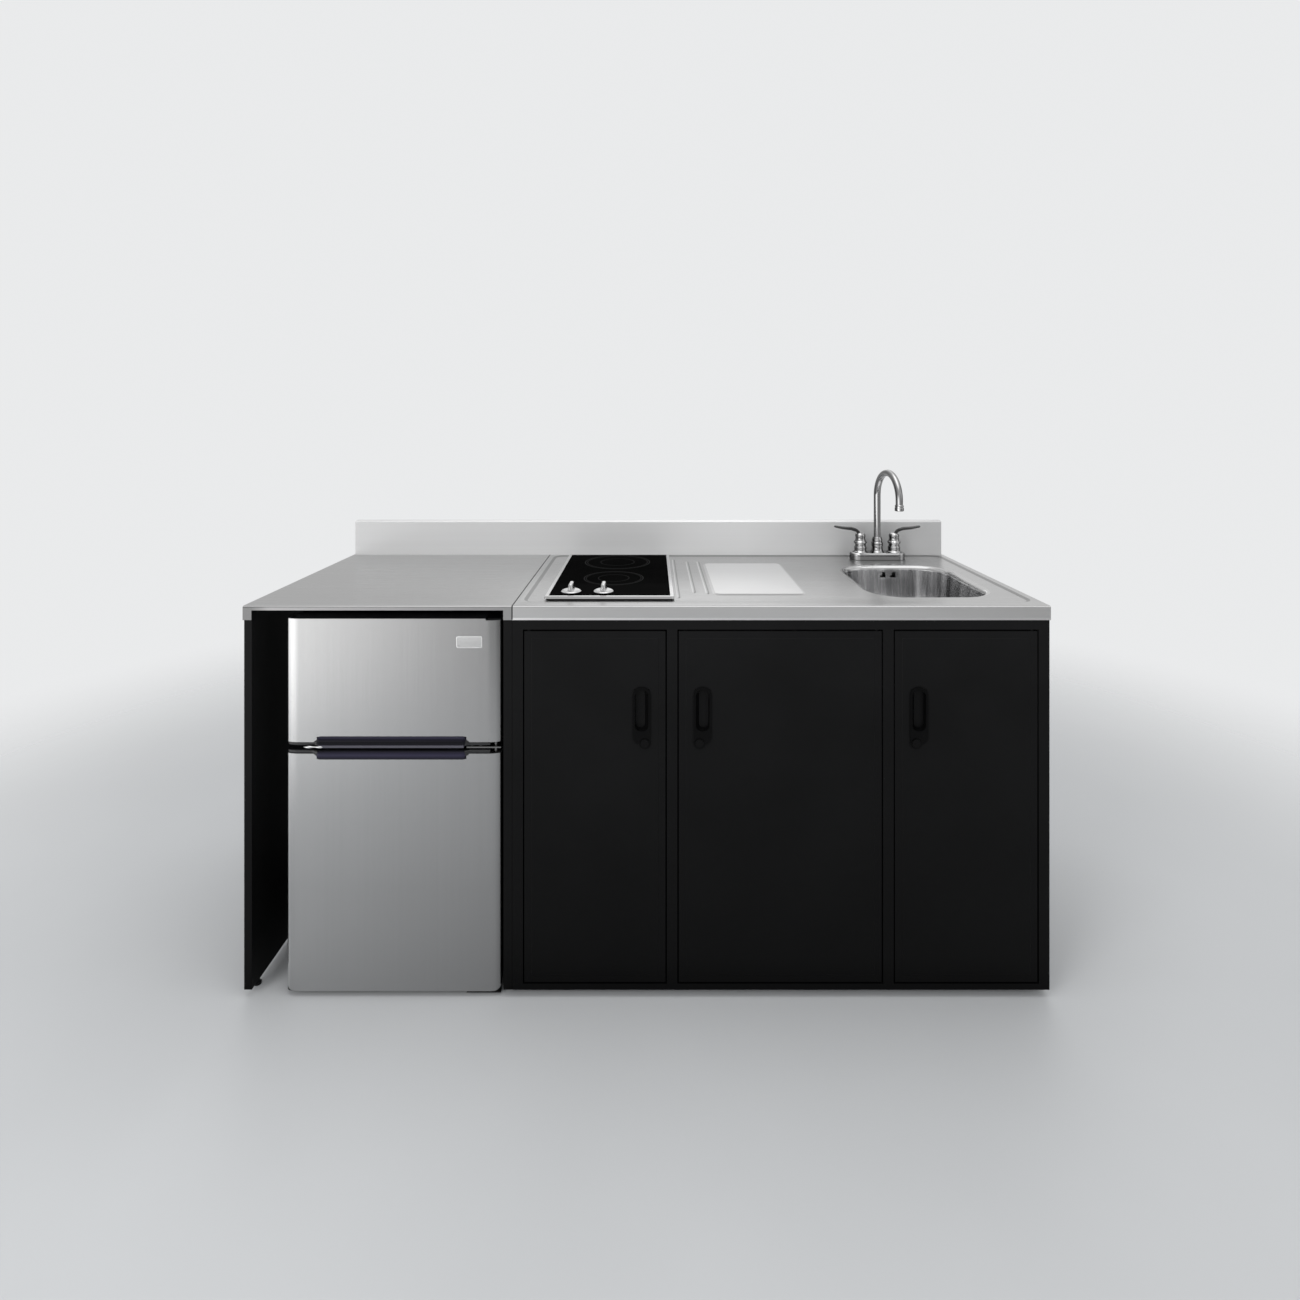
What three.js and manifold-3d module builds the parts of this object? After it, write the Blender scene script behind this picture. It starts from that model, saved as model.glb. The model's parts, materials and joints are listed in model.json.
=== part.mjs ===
// Kitchenette unit, 72 in wide: a black base cabinet with sink, tap and two-zone hob, and at its left
// an open bay under a second top that houses a two-door refrigerator.
// Millimetres, +Z up, front towards -Y. The origin is on the floor under the middle of the unit.
import * as THREE from "three";
import Module from "manifold-3d";
import { mergeVertices } from "three/addons/utils/BufferGeometryUtils.js";

const wasm = await Module();
wasm.setup();

// ---------------------------------------------------------------- driving dimensions
const cabinetWidth = 1219.2; // right top and base cabinet, 48 in
const bayWidth = 609.6; // left top and refrigerator bay, 24 in
const topDepth = 609.6;
const topHeight = 887;
const topSheet = 1.5;
const skirtHeight = 32;
const noseRadius = 4;
const seamGap = 0.4; // between neighbouring bodies
const seat = 0.3; // between pieces that rest on or in each other
const bodySetback = 2.1; // body front behind the skirt face

const notchHeight = 10; // skirt left above the refrigerator
const postWidth = 20; // bay panels and the skirt legs in front of them

const splashHeight = 106;
const splashThickness = 20;
const splashInset = 6;
const splashNose = 6;

const fieldInset = 16; // rim left round the sunk field
const fieldFront = 34;
const fieldRear = 27;
const fieldDepth = 2.5;
const fieldCorner = 30;
const fieldSlope = 8;
const drainerX = 464.4; // left edge of the drainer pad from the seam
const drainerWidth = 226.4;
const drainerFront = 105;
const drainerBack = 139.6;
const drainerCorner = 18;
const drainerRise = 2.4;
const drainerSlope = 6;
const beadX = [380, 420, 452]; // centre lines of the drainer's beads from the seam
const beadFront = [80, 130, 118];
const beadBack = [81.6, 112.6, 111.6];
const beadWidth = 9;
const beadRise = 1.8;

const bowlCentreX = 997.8; // from the seam
const bowlFront = 97;
const bowlWidth = 286;
const bowlLength = 343;
const bowlCorner = 75;
const bowlDepth = 146;
const bowlLip = 13;
const bowlSheet = 1.5;
const bowlTaper = 7;
const bowlFillet = 26;
const bowlFall = 5; // floor slope down to the drain
const drainRadius = 45;
const overflowSize = 16;
const overflowPitch = 29;
const overflowDrop = 17;
const overflowShift = -1; // centre of the pair of holes from the bowl's centre line
const ductDepth = 16;
const ductBelow = 34; // duct's reach below the holes

const strainerFlange = 55;
const strainerThroat = 41;
const strainerDepth = 48;
const strainerWall = 1.6;
const tailRadius = 19;
const tailLength = 62;
const basketClearance = 2.2;
const basketWall = 1.2;
const basketKnobRadius = 9;
const basketSlots = 8;
const basketSlotLength = 16;
const basketSlotWidth = 3.4;
const strainerFunnel = 6; // fall of the strainer's floor to its tail

const faucetFromBack = 66.6;
const faucetX = 999.5; // from the seam
const faucetLength = 166;
const faucetDepth = 51;
const faucetHeight = 21;
const hubPitch = 102;
const hubRadius = 22;
const hubHeight = 32;
const valveRadius = 7;
const valveTop = 50;
const valveDepth = 34;
const bellRadius = 17;
const bellHeight = 30;
const leverReach = 80;
const leverRise = 49;
const leverThickness = 8;
const spoutRadius = 10;
const spoutBend = 74;
const spoutStraight = 192;
const spoutDrop = 10;
const spoutTurn = 6; // degrees to the right at rest
const socketDepth = 26;
const runningGap = 0.5;
const centreHubHeight = 44;
const nutHeight = 9;
const aeratorRadius = 12.5;
const aeratorLength = 18;

const hobX = 216.3; // hob centre from the seam
const hobFront = 57;
const hobWidth = 306;
const hobBack = 44.6; // left behind the hob
const hobTrim = 9.5;
const hobTrimHeight = 5.5;
const hobLift = 3.5; // dark flange seen under the trim
const hobFlangeInset = 5;
const glassThickness = 4;
const glassDrop = 0.6;
const panInsetX = 23; // pan's sides in from the hob's edge
const panInsetY = 12;
const panDepth = 46;
const panWall = 1.5;
const cutoutClearance = 3;
const knobPitch = 78;
const knobsFromLeft = 97.5; // middle of the two knobs from the hob's left edge
const knobFront = 48; // knob centre line behind the hob's front edge
const knobRadius = 24;
const knobSkirt = 6;
const gripWidth = 12;
const gripHeight = 22;
const shaftRadius = 4;
const shaftLength = 18; // below the glass
const switchHalf = 17;
const switchFront = 9; // in front of the shaft
const switchLength = 32;
const switchDrop = 12; // switch box below the glass
const shaftHole = 5.5;
const zoneGapFront = 0.535; // shares of the pan's free length before and between the zones
const zoneGapMiddle = 0.4;
const zoneFrontRadius = 77;
const zoneRearRadius = 93;
const elementHeight = 16;
const elementRim = 6;
const elementPost = 14;

const footHeight = 17;
const footRadius = 17;
const bayFootRadius = 8.5;
const railHeight = 60;
const footInset = 40;
const panelThickness = 20;
const frameThickness = 20;
const stileWidth = 24;
const mullionWidth = 24;
const bottomRail = 14;
const headerHeight = 54;
const floorThickness = 16;
const backThickness = 12;
const serviceWidth = 300;
const serviceHeight = 260;
const serviceSill = 330;
const partitionThickness = 16;
const shelfHeight = 420;
const shelfThickness = 16;
const shelfSetback = 40;

const doorLeftWidth = 320;
const doorCentreWidth = 460;
const doorGap = 3;
const doorTopGap = 4;
const doorThickness = 18;
const doorBorder = 15;
const doorField = 0.8;
const pivotInset = 10;
const pivotDepth = 7;
const studRadius = 3.5;
const studLength = 9;
const studClearance = 0.4;

const pullInset = 54; // pull centre line from the free edge
const pullCentre = 637.5;
const pullWidth = 41;
const pullHeight = 131;
const pullCorner = 8;
const pullProud = 1.8;
const pullWall = 1.6;
const pullCupDepth = 12;
const pullCupWidth = 31;
const pullCupHeight = 92;
const pullCupSlope = 8;
const pullCupMargin = 6; // plate left above the cup
const bossRadius = 13.5;
const bossShift = 7;
const bossCentre = 577;
const bossDepth = 14;
const buttonRadius = 9.5;
const buttonProud = 3.2;
const buttonDepth = 7;
const buttonTravel = 3;

const fridgeSideSpace = 76; // bay left open at the refrigerator's left
const fridgeClearance = 5.6; // and at its right
const fridgeSetback = 4;
const fridgeDoorThickness = 44;
const fridgeDoorEdgeWidth = 30; // the front rolls back towards its left and right edges
const fridgeDoorEdgeDepth = 9;
const fridgeGap = 10; // door to case, filled by the gasket
const caseInset = 2;
const caseBottom = 20;
const caseHeadroom = 34; // case top below the worktop
const caseRearSpace = 63.5; // between the case and the bay's rear rail
const caseWall = 36;
const freezerDoorRise = 4; // above the case
const freezerDoorBottom = 577;
const fridgeDoorTop = 551;
const fridgeDoorBottom = 12;
const compressorBay = 150;
const compressorBayHeight = 170;
const compressorFloor = 12;
const compressorRadius = 55;
const compressorHeight = 132;
const compressorInset = 130; // compressor's centre from the case's right side
const skidWidth = 36;
const skidInset = 30;
const skidSetback = 20;
const machineSide = 20; // case wall left beside the compressor bay
const bracketWidth = 60; // steadies the case against the bay's rear rail
const bracketThickness = 3;
const bracketDrop = 22;
const gasketInset = 15;
const gasketWidth = 16;
const linerInset = 58;
const linerRise = 26;
const linerWall = 10;
const hingeInset = 14;
const hingeDepth = 12;
const hingePin = 4;
const hingePinLength = 12;
const hingeClearance = 0.5;
const hingeLeaf = 3;
const hingeLeafWidth = 30;
const hingeLeafSetback = 3; // leaf's front edge behind the door's face
const hingeNotchMargin = 4;
const hingePlateHalf = 9;
const middleLeafWidth = 78;
const gripFromLeft = 70;
const gripFromRight = 79;
const gripOverlap = 12.5;
const gripProud = 7.5;
const gripHang = 7.5;
const gripWall = 3.5;
const gripChannel = 17;
const ledgeRise = 4;
const ledgeWidth = 8;
const ledgeSetback = 30;
const glassShelfHeight = 392;
const glassShelfThickness = 6;
const crisperHeight = 135;
const crisperWall = 3;
const crisperDraft = 6;
const crisperCorner = 12;

const roundSteps = 24; // facets round turned pieces, shafts and pins
const valveSteps = 20;
const shaftSteps = 16;
const pinSteps = 12;
const bowlSteps = 7; // facets in each corner of the bowl

// ---------------------------------------------------------------- places worked out from them
const hobLength = topDepth - hobFront - hobBack;
const panWidth = hobWidth - 2 * panInsetX;
const panLength = hobLength - 2 * panInsetY;
const drainerLength = topDepth - drainerFront - drainerBack;
const headerBottom = topHeight - headerHeight;
const fridgeWidth = bayWidth - 2 * postWidth - fridgeSideSpace - fridgeClearance;
const gripLength = fridgeWidth - gripFromLeft - gripFromRight;
const caseTop = topHeight - caseHeadroom;
const freezerDoorTop = caseTop + freezerDoorRise;
const leftEnd = -(bayWidth + cabinetWidth) / 2;
const seamX = leftEnd + bayWidth;
const rightEnd = seamX + cabinetWidth;
const proudOfTop = Math.max(gripProud - fridgeSetback, pullProud + buttonProud - bodySetback, 0);
const frontY = -(topDepth + proudOfTop) / 2 + proudOfTop;
const backY = frontY + topDepth;
const fieldZ = topHeight - fieldDepth;
const skirtBottom = topHeight - skirtHeight;
const noseFoot = topHeight - noseRadius; // below this the skirt is flat inside
const cabinetTop = Math.min(fieldZ - topSheet - seat, noseFoot);
const railTop = topHeight - topSheet - seat;
const bodyFront = frontY + bodySetback;
const bodyLeft = seamX + seamGap / 2;
const bodyRight = rightEnd - bodySetback;
const bodyBack = backY - bodySetback;
const frameBack = bodyFront + frameThickness;
const floorTop = footHeight + floorThickness;

// ---------------------------------------------------------------- materials
const materials = {
  steel: new THREE.MeshStandardMaterial({ color: 0xc4c5c6, roughness: 0.32, metalness: 1 }),
  darkSteel: new THREE.MeshStandardMaterial({ color: 0x77787a, roughness: 0.4, metalness: 1 }),
  chrome: new THREE.MeshStandardMaterial({ color: 0xe6e8ea, roughness: 0.06, metalness: 1 }),
  brass: new THREE.MeshStandardMaterial({ color: 0xb08d46, roughness: 0.35, metalness: 1 }),
  blackPaint: new THREE.MeshStandardMaterial({ color: 0x1b1c1e, roughness: 0.42, metalness: 0 }),
  blackPlastic: new THREE.MeshStandardMaterial({ color: 0x141416, roughness: 0.5, metalness: 0 }),
  gripPlastic: new THREE.MeshStandardMaterial({ color: 0x2b2a33, roughness: 0.3, metalness: 0 }),
  rubber: new THREE.MeshStandardMaterial({ color: 0x2a2b2d, roughness: 0.8, metalness: 0 }),
  glass: new THREE.MeshStandardMaterial({ color: 0x060607, roughness: 0.05, metalness: 0 }),
  silver: new THREE.MeshStandardMaterial({ color: 0xb9bbbe, roughness: 0.3, metalness: 0.7 }),
  liner: new THREE.MeshStandardMaterial({ color: 0xe9ebec, roughness: 0.45, metalness: 0 }),
  clear: new THREE.MeshStandardMaterial({ color: 0xcfdde2, roughness: 0.1, metalness: 0 }),
};

// ---------------------------------------------------------------- shape helpers
function facingOut(geometry) {
  const place = geometry.attributes.position;
  const index = geometry.index;
  const a = new THREE.Vector3();
  const b = new THREE.Vector3();
  const c = new THREE.Vector3();
  let volume = 0;
  for (let i = 0; i < index.count; i += 3) {
    a.fromBufferAttribute(place, index.getX(i));
    b.fromBufferAttribute(place, index.getX(i + 1));
    c.fromBufferAttribute(place, index.getX(i + 2));
    volume += a.dot(b.cross(c));
  }
  if (volume < 0) {
    for (let i = 0; i < index.count; i += 3) {
      const first = index.getX(i);
      index.setX(i, index.getX(i + 1));
      index.setX(i + 1, first);
    }
  }
  return geometry;
}

function welded(geometry) {
  const bare = geometry.clone();
  bare.deleteAttribute("normal");
  bare.deleteAttribute("uv");
  return facingOut(mergeVertices(bare, 1e-4));
}

// A closed geometry as a solid that can be joined and cut.
function solid(geometry) {
  const closed = welded(geometry);
  const mesh = new wasm.Mesh({
    numProp: 3,
    vertProperties: Float32Array.from(closed.attributes.position.array),
    triVerts: Uint32Array.from(closed.index.array),
  });
  return new wasm.Manifold(mesh);
}

function geometryOf(body) {
  const mesh = body.getMesh();
  const geometry = new THREE.BufferGeometry();
  geometry.setAttribute("position", new THREE.BufferAttribute(mesh.vertProperties, 3));
  geometry.setIndex(new THREE.BufferAttribute(mesh.triVerts, 1));
  geometry.computeVertexNormals();
  return geometry;
}

function joined(...bodies) {
  return bodies.reduce((whole, body) => whole.add(body));
}

function cut(body, ...tools) {
  return tools.reduce((rest, tool) => rest.subtract(tool), body);
}

function block(x0, x1, y0, y1, z0, z1) {
  const geometry = new THREE.BoxGeometry(x1 - x0, y1 - y0, z1 - z0);
  geometry.translate((x0 + x1) / 2, (y0 + y1) / 2, (z0 + z1) / 2);
  return solid(geometry);
}

function polygon(points) {
  return new THREE.Shape(points.map(([u, v]) => new THREE.Vector2(u, v)));
}

function roundedRect(x0, x1, y0, y1, radius) {
  const shape = new THREE.Shape();
  shape.absarc(x1 - radius, y0 + radius, radius, -Math.PI / 2, 0, false);
  shape.absarc(x1 - radius, y1 - radius, radius, 0, Math.PI / 2, false);
  shape.absarc(x0 + radius, y1 - radius, radius, Math.PI / 2, Math.PI, false);
  shape.absarc(x0 + radius, y0 + radius, radius, Math.PI, Math.PI * 1.5, false);
  return shape;
}

// A plan outline raised from z0 to z1.
function prismZ(shape, z0, z1, curveSegments = 6) {
  const geometry = new THREE.ExtrudeGeometry(shape, { depth: z1 - z0, bevelEnabled: false, curveSegments });
  geometry.translate(0, 0, z0);
  return solid(geometry);
}

// A side profile with (y, z) points run along X.
function prismX(shape, x0, x1, curveSegments = 6) {
  const geometry = new THREE.ExtrudeGeometry(shape, { depth: x1 - x0, bevelEnabled: false, curveSegments });
  const turn = new THREE.Matrix4().makeBasis(
    new THREE.Vector3(0, 1, 0),
    new THREE.Vector3(0, 0, 1),
    new THREE.Vector3(1, 0, 0),
  );
  geometry.applyMatrix4(turn);
  geometry.translate(x0, 0, 0);
  return solid(geometry);
}

// A front outline with (x, z) points run from y0 to y1.
function prismY(shape, y0, y1, curveSegments = 6) {
  const geometry = new THREE.ExtrudeGeometry(shape, { depth: y1 - y0, bevelEnabled: false, curveSegments });
  const turn = new THREE.Matrix4().makeBasis(
    new THREE.Vector3(1, 0, 0),
    new THREE.Vector3(0, 0, 1),
    new THREE.Vector3(0, -1, 0),
  );
  geometry.applyMatrix4(turn);
  geometry.translate(0, y1, 0);
  return solid(geometry);
}

// A turned piece on a vertical axis: the profile's (radius, z) points start and end on the axis, or
// close on themselves.
function turned(profile, x, y, z = 0, steps = roundSteps) {
  const points = profile.map(([radius, height]) => new THREE.Vector2(radius, height));
  const geometry = new THREE.LatheGeometry(points, steps);
  geometry.rotateX(Math.PI / 2);
  geometry.translate(x, y, z);
  return solid(geometry);
}

function rod(x, y, z0, z1, radius, steps = roundSteps) {
  return turned([[0, z0], [radius, z0], [radius, z1], [0, z1]], x, y, 0, steps);
}

// Points round a rounded rectangle at height z.
function rectRing(x, y, halfX, halfY, radius, z, cornerSteps) {
  const ring = [];
  const corners = [[1, -1, -0.5], [1, 1, 0], [-1, 1, 0.5], [-1, -1, 1]];
  for (const [sideX, sideY, start] of corners) {
    for (let step = 0; step <= cornerSteps; step += 1) {
      const angle = (start + (0.5 * step) / cornerSteps) * Math.PI;
      const px = x + sideX * (halfX - radius) + radius * Math.cos(angle);
      const py = y + sideY * (halfY - radius) + radius * Math.sin(angle);
      ring.push(new THREE.Vector3(px, py, z));
    }
  }
  return ring;
}

// As many points as a rounded rectangle has, spread evenly round a circle from the same corner.
function circleRing(count, x, y, radius, z) {
  const ring = [];
  for (let j = 0; j < count; j += 1) {
    const angle = -Math.PI / 2 + ((j + 0.5) * 2 * Math.PI) / count;
    ring.push(new THREE.Vector3(x + radius * Math.cos(angle), y + radius * Math.sin(angle), z));
  }
  return ring;
}

// Skin over rings of equally many points. A loop of rings closes on itself; otherwise the ends are
// flat and fanned from their middle.
function skin(rings, loop) {
  const count = rings[0].length;
  const points = rings.flat();
  const faces = [];
  const last = loop ? rings.length : rings.length - 1;
  for (let i = 0; i < last; i += 1) {
    const low = i * count;
    const high = ((i + 1) % rings.length) * count;
    for (let j = 0; j < count; j += 1) {
      const next = (j + 1) % count;
      faces.push(low + j, low + next, high + next, low + j, high + next, high + j);
    }
  }
  if (!loop) {
    for (const end of [0, rings.length - 1]) {
      const middle = points.length;
      const centre = new THREE.Vector3();
      rings[end].forEach((point) => centre.addScaledVector(point, 1 / count));
      points.push(centre);
      for (let j = 0; j < count; j += 1) {
        const next = (j + 1) % count;
        const pair = end === 0 ? [next, j] : [j, next];
        faces.push(middle, end * count + pair[0], end * count + pair[1]);
      }
    }
  }
  const geometry = new THREE.BufferGeometry().setFromPoints(points);
  geometry.setIndex(faces);
  return solid(geometry);
}

// A pad with sloping sides: outline a at z0, the same outline drawn in by run at z1.
function frustum(x0, x1, y0, y1, radius, z0, z1, run, cornerSteps = 5) {
  const x = (x0 + x1) / 2;
  const y = (y0 + y1) / 2;
  const halfX = (x1 - x0) / 2;
  const halfY = (y1 - y0) / 2;
  const inner = Math.max(radius - run, 0.5);
  return skin([
    rectRing(x, y, halfX, halfY, radius, z0, cornerSteps),
    rectRing(x, y, halfX - run, halfY - run, inner, z1, cornerSteps),
  ], false);
}

const unit = new THREE.Group();

function place(name, body, material, parent = unit) {
  const geometry = body.isBufferGeometry ? body : geometryOf(body);
  const mesh = new THREE.Mesh(geometry, material);
  mesh.name = name;
  parent.add(mesh);
  return mesh;
}

// ---------------------------------------------------------------- worktops
// The hob and bowl openings are shared by the top, the hob and the bowl.
const hob = {
  x0: seamX + hobX - hobWidth / 2,
  x1: seamX + hobX + hobWidth / 2,
  y0: frontY + hobFront,
  y1: frontY + hobFront + hobLength,
};
hob.x = (hob.x0 + hob.x1) / 2;
hob.y = (hob.y0 + hob.y1) / 2;
const bowl = {
  x: seamX + bowlCentreX,
  y: frontY + bowlFront + bowlLength / 2,
  halfX: bowlWidth / 2,
  halfY: bowlLength / 2,
};
const tap = { x: seamX + faucetX, y: backY - faucetFromBack };

function topProfile(front, back, bottom, top, radius) {
  const shape = new THREE.Shape();
  shape.moveTo(back, bottom);
  shape.lineTo(back, top);
  shape.lineTo(front + radius, top);
  shape.absarc(front + radius, top - radius, radius, Math.PI / 2, Math.PI, false);
  shape.lineTo(front, bottom);
  return shape;
}

// Everything under the pressed surface, with the surface let down by drop.
function underSurface(x0, x1, front, bottom, back, radius, drop) {
  const top = topHeight - drop;
  const field = fieldZ - drop;
  const lap = 1; // how far a pressing starts inside the mass it joins or leaves
  const slab = prismX(topProfile(front, back, bottom, top, radius), x0, x1, 4);
  const fx0 = seamX + fieldInset;
  const fx1 = rightEnd - fieldInset;
  const fy0 = frontY + fieldFront;
  const fy1 = backY - fieldRear;
  const slopeOver = (fieldSlope * lap) / fieldDepth;
  const sunk = frustum(
    fx0 - slopeOver, fx1 + slopeOver, fy0 - slopeOver, fy1 + slopeOver,
    fieldCorner + slopeOver, top + lap, field, fieldSlope + slopeOver,
  );
  const padX = seamX + drainerX;
  const padY = frontY + drainerFront;
  const padOver = (drainerSlope * lap) / drainerRise;
  const pad = frustum(
    padX - padOver, padX + drainerWidth + padOver, padY - padOver, padY + drainerLength + padOver,
    drainerCorner + padOver, field - lap, field + drainerRise, drainerSlope + padOver,
  );
  let mass = slab.subtract(sunk).add(pad);
  beadX.forEach((fromSeam, i) => {
    const x = seamX + fromSeam;
    const y = frontY + beadFront[i];
    const beadLength = topDepth - beadFront[i] - beadBack[i];
    const beadRun = beadWidth * 0.35;
    const over = (beadRun * lap) / beadRise;
    const wide = beadWidth / 2 + over;
    const bead = frustum(
      x - wide, x + wide, y - over, y + beadLength + over,
      wide - 0.2, field - lap, field + beadRise, beadRun + over, 3,
    );
    mass = mass.add(bead);
  });
  return mass;
}

function makeRightTop() {
  const x0 = seamX + seamGap / 2;
  const mass = underSurface(x0, rightEnd, frontY, skirtBottom, backY, noseRadius, 0);
  const below = underSurface(
    x0 - 1, rightEnd - topSheet, frontY + topSheet, skirtBottom - 1, backY + 1,
    noseRadius - topSheet, topSheet,
  );
  const deep = topHeight - 20;
  const high = topHeight + 20;
  const hobHole = block(
    hob.x - panWidth / 2 - cutoutClearance, hob.x + panWidth / 2 + cutoutClearance,
    hob.y - panLength / 2 - cutoutClearance, hob.y + panLength / 2 + cutoutClearance, deep, high,
  );
  const reachX = bowl.halfX + bowlLip + seat;
  const reachY = bowl.halfY + bowlLip + seat;
  const corner = bowlCorner + bowlLip + seat;
  const bowlHole = skin([
    rectRing(bowl.x, bowl.y, reachX, reachY, corner, deep, bowlSteps),
    rectRing(bowl.x, bowl.y, reachX, reachY, corner, high, bowlSteps),
  ], false);
  const tapHoles = [-hubPitch / 2, 0, hubPitch / 2].map((shift) => {
    return rod(tap.x + shift, tap.y, deep, high, tapHoleRadius());
  });
  return cut(mass, below, hobHole, bowlHole, ...tapHoles);
}

function tapHoleRadius() {
  return Math.max(valveRadius, spoutRadius) + 4;
}

// The left top's skirt is cut away above the refrigerator, with a full-height leg at each end.
function makeLeftTop() {
  const x1 = seamX - seamGap / 2;
  const mass = prismX(topProfile(frontY, backY, skirtBottom, topHeight, noseRadius), leftEnd, x1, 4);
  const below = prismX(
    topProfile(
      frontY + topSheet, backY + 1, skirtBottom - 1, topHeight - topSheet, noseRadius - topSheet,
    ), leftEnd + topSheet, x1 + 1, 4,
  );
  const notch = block(
    leftEnd + postWidth, seamX - postWidth, frontY - 1, frontY + topSheet + 1,
    skirtBottom - 1, topHeight - notchHeight,
  );
  return cut(mass, below, notch);
}

function makeSplash() {
  const shape = new THREE.Shape();
  const z0 = topHeight;
  const z1 = topHeight + splashHeight;
  const front = backY - splashThickness;
  shape.moveTo(backY, z0);
  shape.lineTo(backY, z1);
  shape.lineTo(front + splashNose, z1);
  shape.absarc(front + splashNose, z1 - splashNose, splashNose, Math.PI / 2, Math.PI, false);
  shape.lineTo(front, z0);
  return prismX(shape, leftEnd + splashInset, rightEnd - splashInset, 6);
}

place("right_worktop", makeRightTop(), materials.steel);
place("left_worktop", makeLeftTop(), materials.steel);
place("backsplash", makeSplash(), materials.steel);

// ---------------------------------------------------------------- sink
// The bowl is one shell: its section runs from the rolled lip down the wall, over the floor to the
// drain and back underneath.
function bowlSection() {
  const section = [];
  const top = fieldZ;
  const lipSteps = 4;
  for (let i = 0; i <= lipSteps; i += 1) {
    const angle = (i / lipSteps) * (Math.PI / 2);
    section.push([bowlLip * (1 - Math.sin(angle)), top - bowlLip * (1 - Math.cos(angle))]);
  }
  const floor = top - bowlDepth;
  const filletSteps = 4;
  for (let i = 0; i <= filletSteps; i += 1) {
    const angle = (i / filletSteps) * (Math.PI / 2);
    const out = -bowlTaper - bowlFillet * (1 - Math.cos(angle));
    section.push([out, floor + bowlFillet * (1 - Math.sin(angle))]);
  }
  return section;
}

function makeBowl() {
  const section = bowlSection();
  const ringAt = (out, z) => {
    const radius = Math.max(bowlCorner + out, 8);
    return rectRing(bowl.x, bowl.y, bowl.halfX + out, bowl.halfY + out, radius, z, bowlSteps);
  };
  const floor = fieldZ - bowlDepth;
  const drainZ = floor - bowlFall;
  const upper = section.map(([out, z]) => ringAt(out, z));
  const drain = circleRing(upper[0].length, bowl.x, bowl.y, drainRadius, drainZ);
  // The back of the sheet, each point moved square to the section.
  const under = section.map(([out, z], i) => {
    const before = section[Math.max(i - 1, 0)];
    const after = section[Math.min(i + 1, section.length - 1)];
    const run = after[0] - before[0];
    const rise = after[1] - before[1];
    const length = Math.hypot(run, rise);
    return ringAt(out - (rise / length) * bowlSheet, z + (run / length) * bowlSheet);
  });
  const drainUnder = circleRing(drain.length, bowl.x, bowl.y, drainRadius, drainZ - bowlSheet);
  const shell = skin([...upper, drain, drainUnder, ...under.reverse()], true);

  // Overflow: two square holes and a duct welded behind the rear wall.
  const holeTop = fieldZ - overflowDrop;
  const holeBottom = holeTop - overflowSize;
  const wallY = bowl.y + bowl.halfY;
  const middle = bowl.x + overflowShift;
  const ductHalf = overflowPitch / 2 + overflowSize;
  const ductRoot = wallY - bowlTaper * 0.4;
  const ductBottom = holeBottom - ductBelow;
  const ductTop = holeTop + 2;
  const duct = block(
    middle - ductHalf, middle + ductHalf, ductRoot, wallY + ductDepth, ductBottom, ductTop,
  );
  const ductBore = block(
    middle - ductHalf + bowlSheet, middle + ductHalf - bowlSheet, wallY + bowlSheet / 2,
    wallY + ductDepth - bowlSheet, ductBottom - 1, ductTop - bowlSheet,
  );
  const holes = [-overflowPitch / 2, overflowPitch / 2].map((shift) => {
    const x = middle + shift;
    const half = overflowSize / 2;
    return block(x - half, x + half, wallY - 12, wallY + 8, holeBottom, holeTop);
  });
  const inside = skin([...section.map(([out, z]) => ringAt(out, z)).reverse()], false);
  return cut(shell.add(duct.subtract(inside)), ductBore, ...holes);
}

place("sink_bowl", makeBowl(), materials.steel);

const drainTop = fieldZ - bowlDepth - bowlFall;

const strainerRim = drainTop + seat + bowlFall * 0.5;
const strainerFloor = strainerRim - strainerDepth;

function makeStrainer() {
  const outerThroat = strainerThroat + strainerWall;
  const tailTop = strainerFloor - strainerFunnel;
  const tailEnd = strainerFloor - tailLength;
  const flangeZ = strainerFlangeZ();
  return turned([
    [strainerThroat, strainerRim],
    [strainerThroat, strainerFloor],
    [tailRadius - strainerWall, tailTop],
    [tailRadius - strainerWall, tailEnd],
    [tailRadius, tailEnd],
    [tailRadius, tailTop - strainerWall],
    [outerThroat, strainerFloor - strainerWall],
    [outerThroat, strainerRim - strainerWall * 1.5],
    [strainerFlange, flangeZ + strainerWall * 0.6],
    [strainerFlange, flangeZ + strainerWall * 1.6],
    [strainerThroat, strainerRim],
  ], bowl.x, bowl.y);
}

// The flange rests on the bowl's falling floor just outside the drain hole.
function strainerFlangeZ() {
  const floorRun = Math.min(bowl.halfX, bowl.halfY) - bowlTaper - bowlFillet - drainRadius;
  return drainTop + (bowlFall * (strainerFlange - drainRadius)) / floorRun + seat;
}

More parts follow.
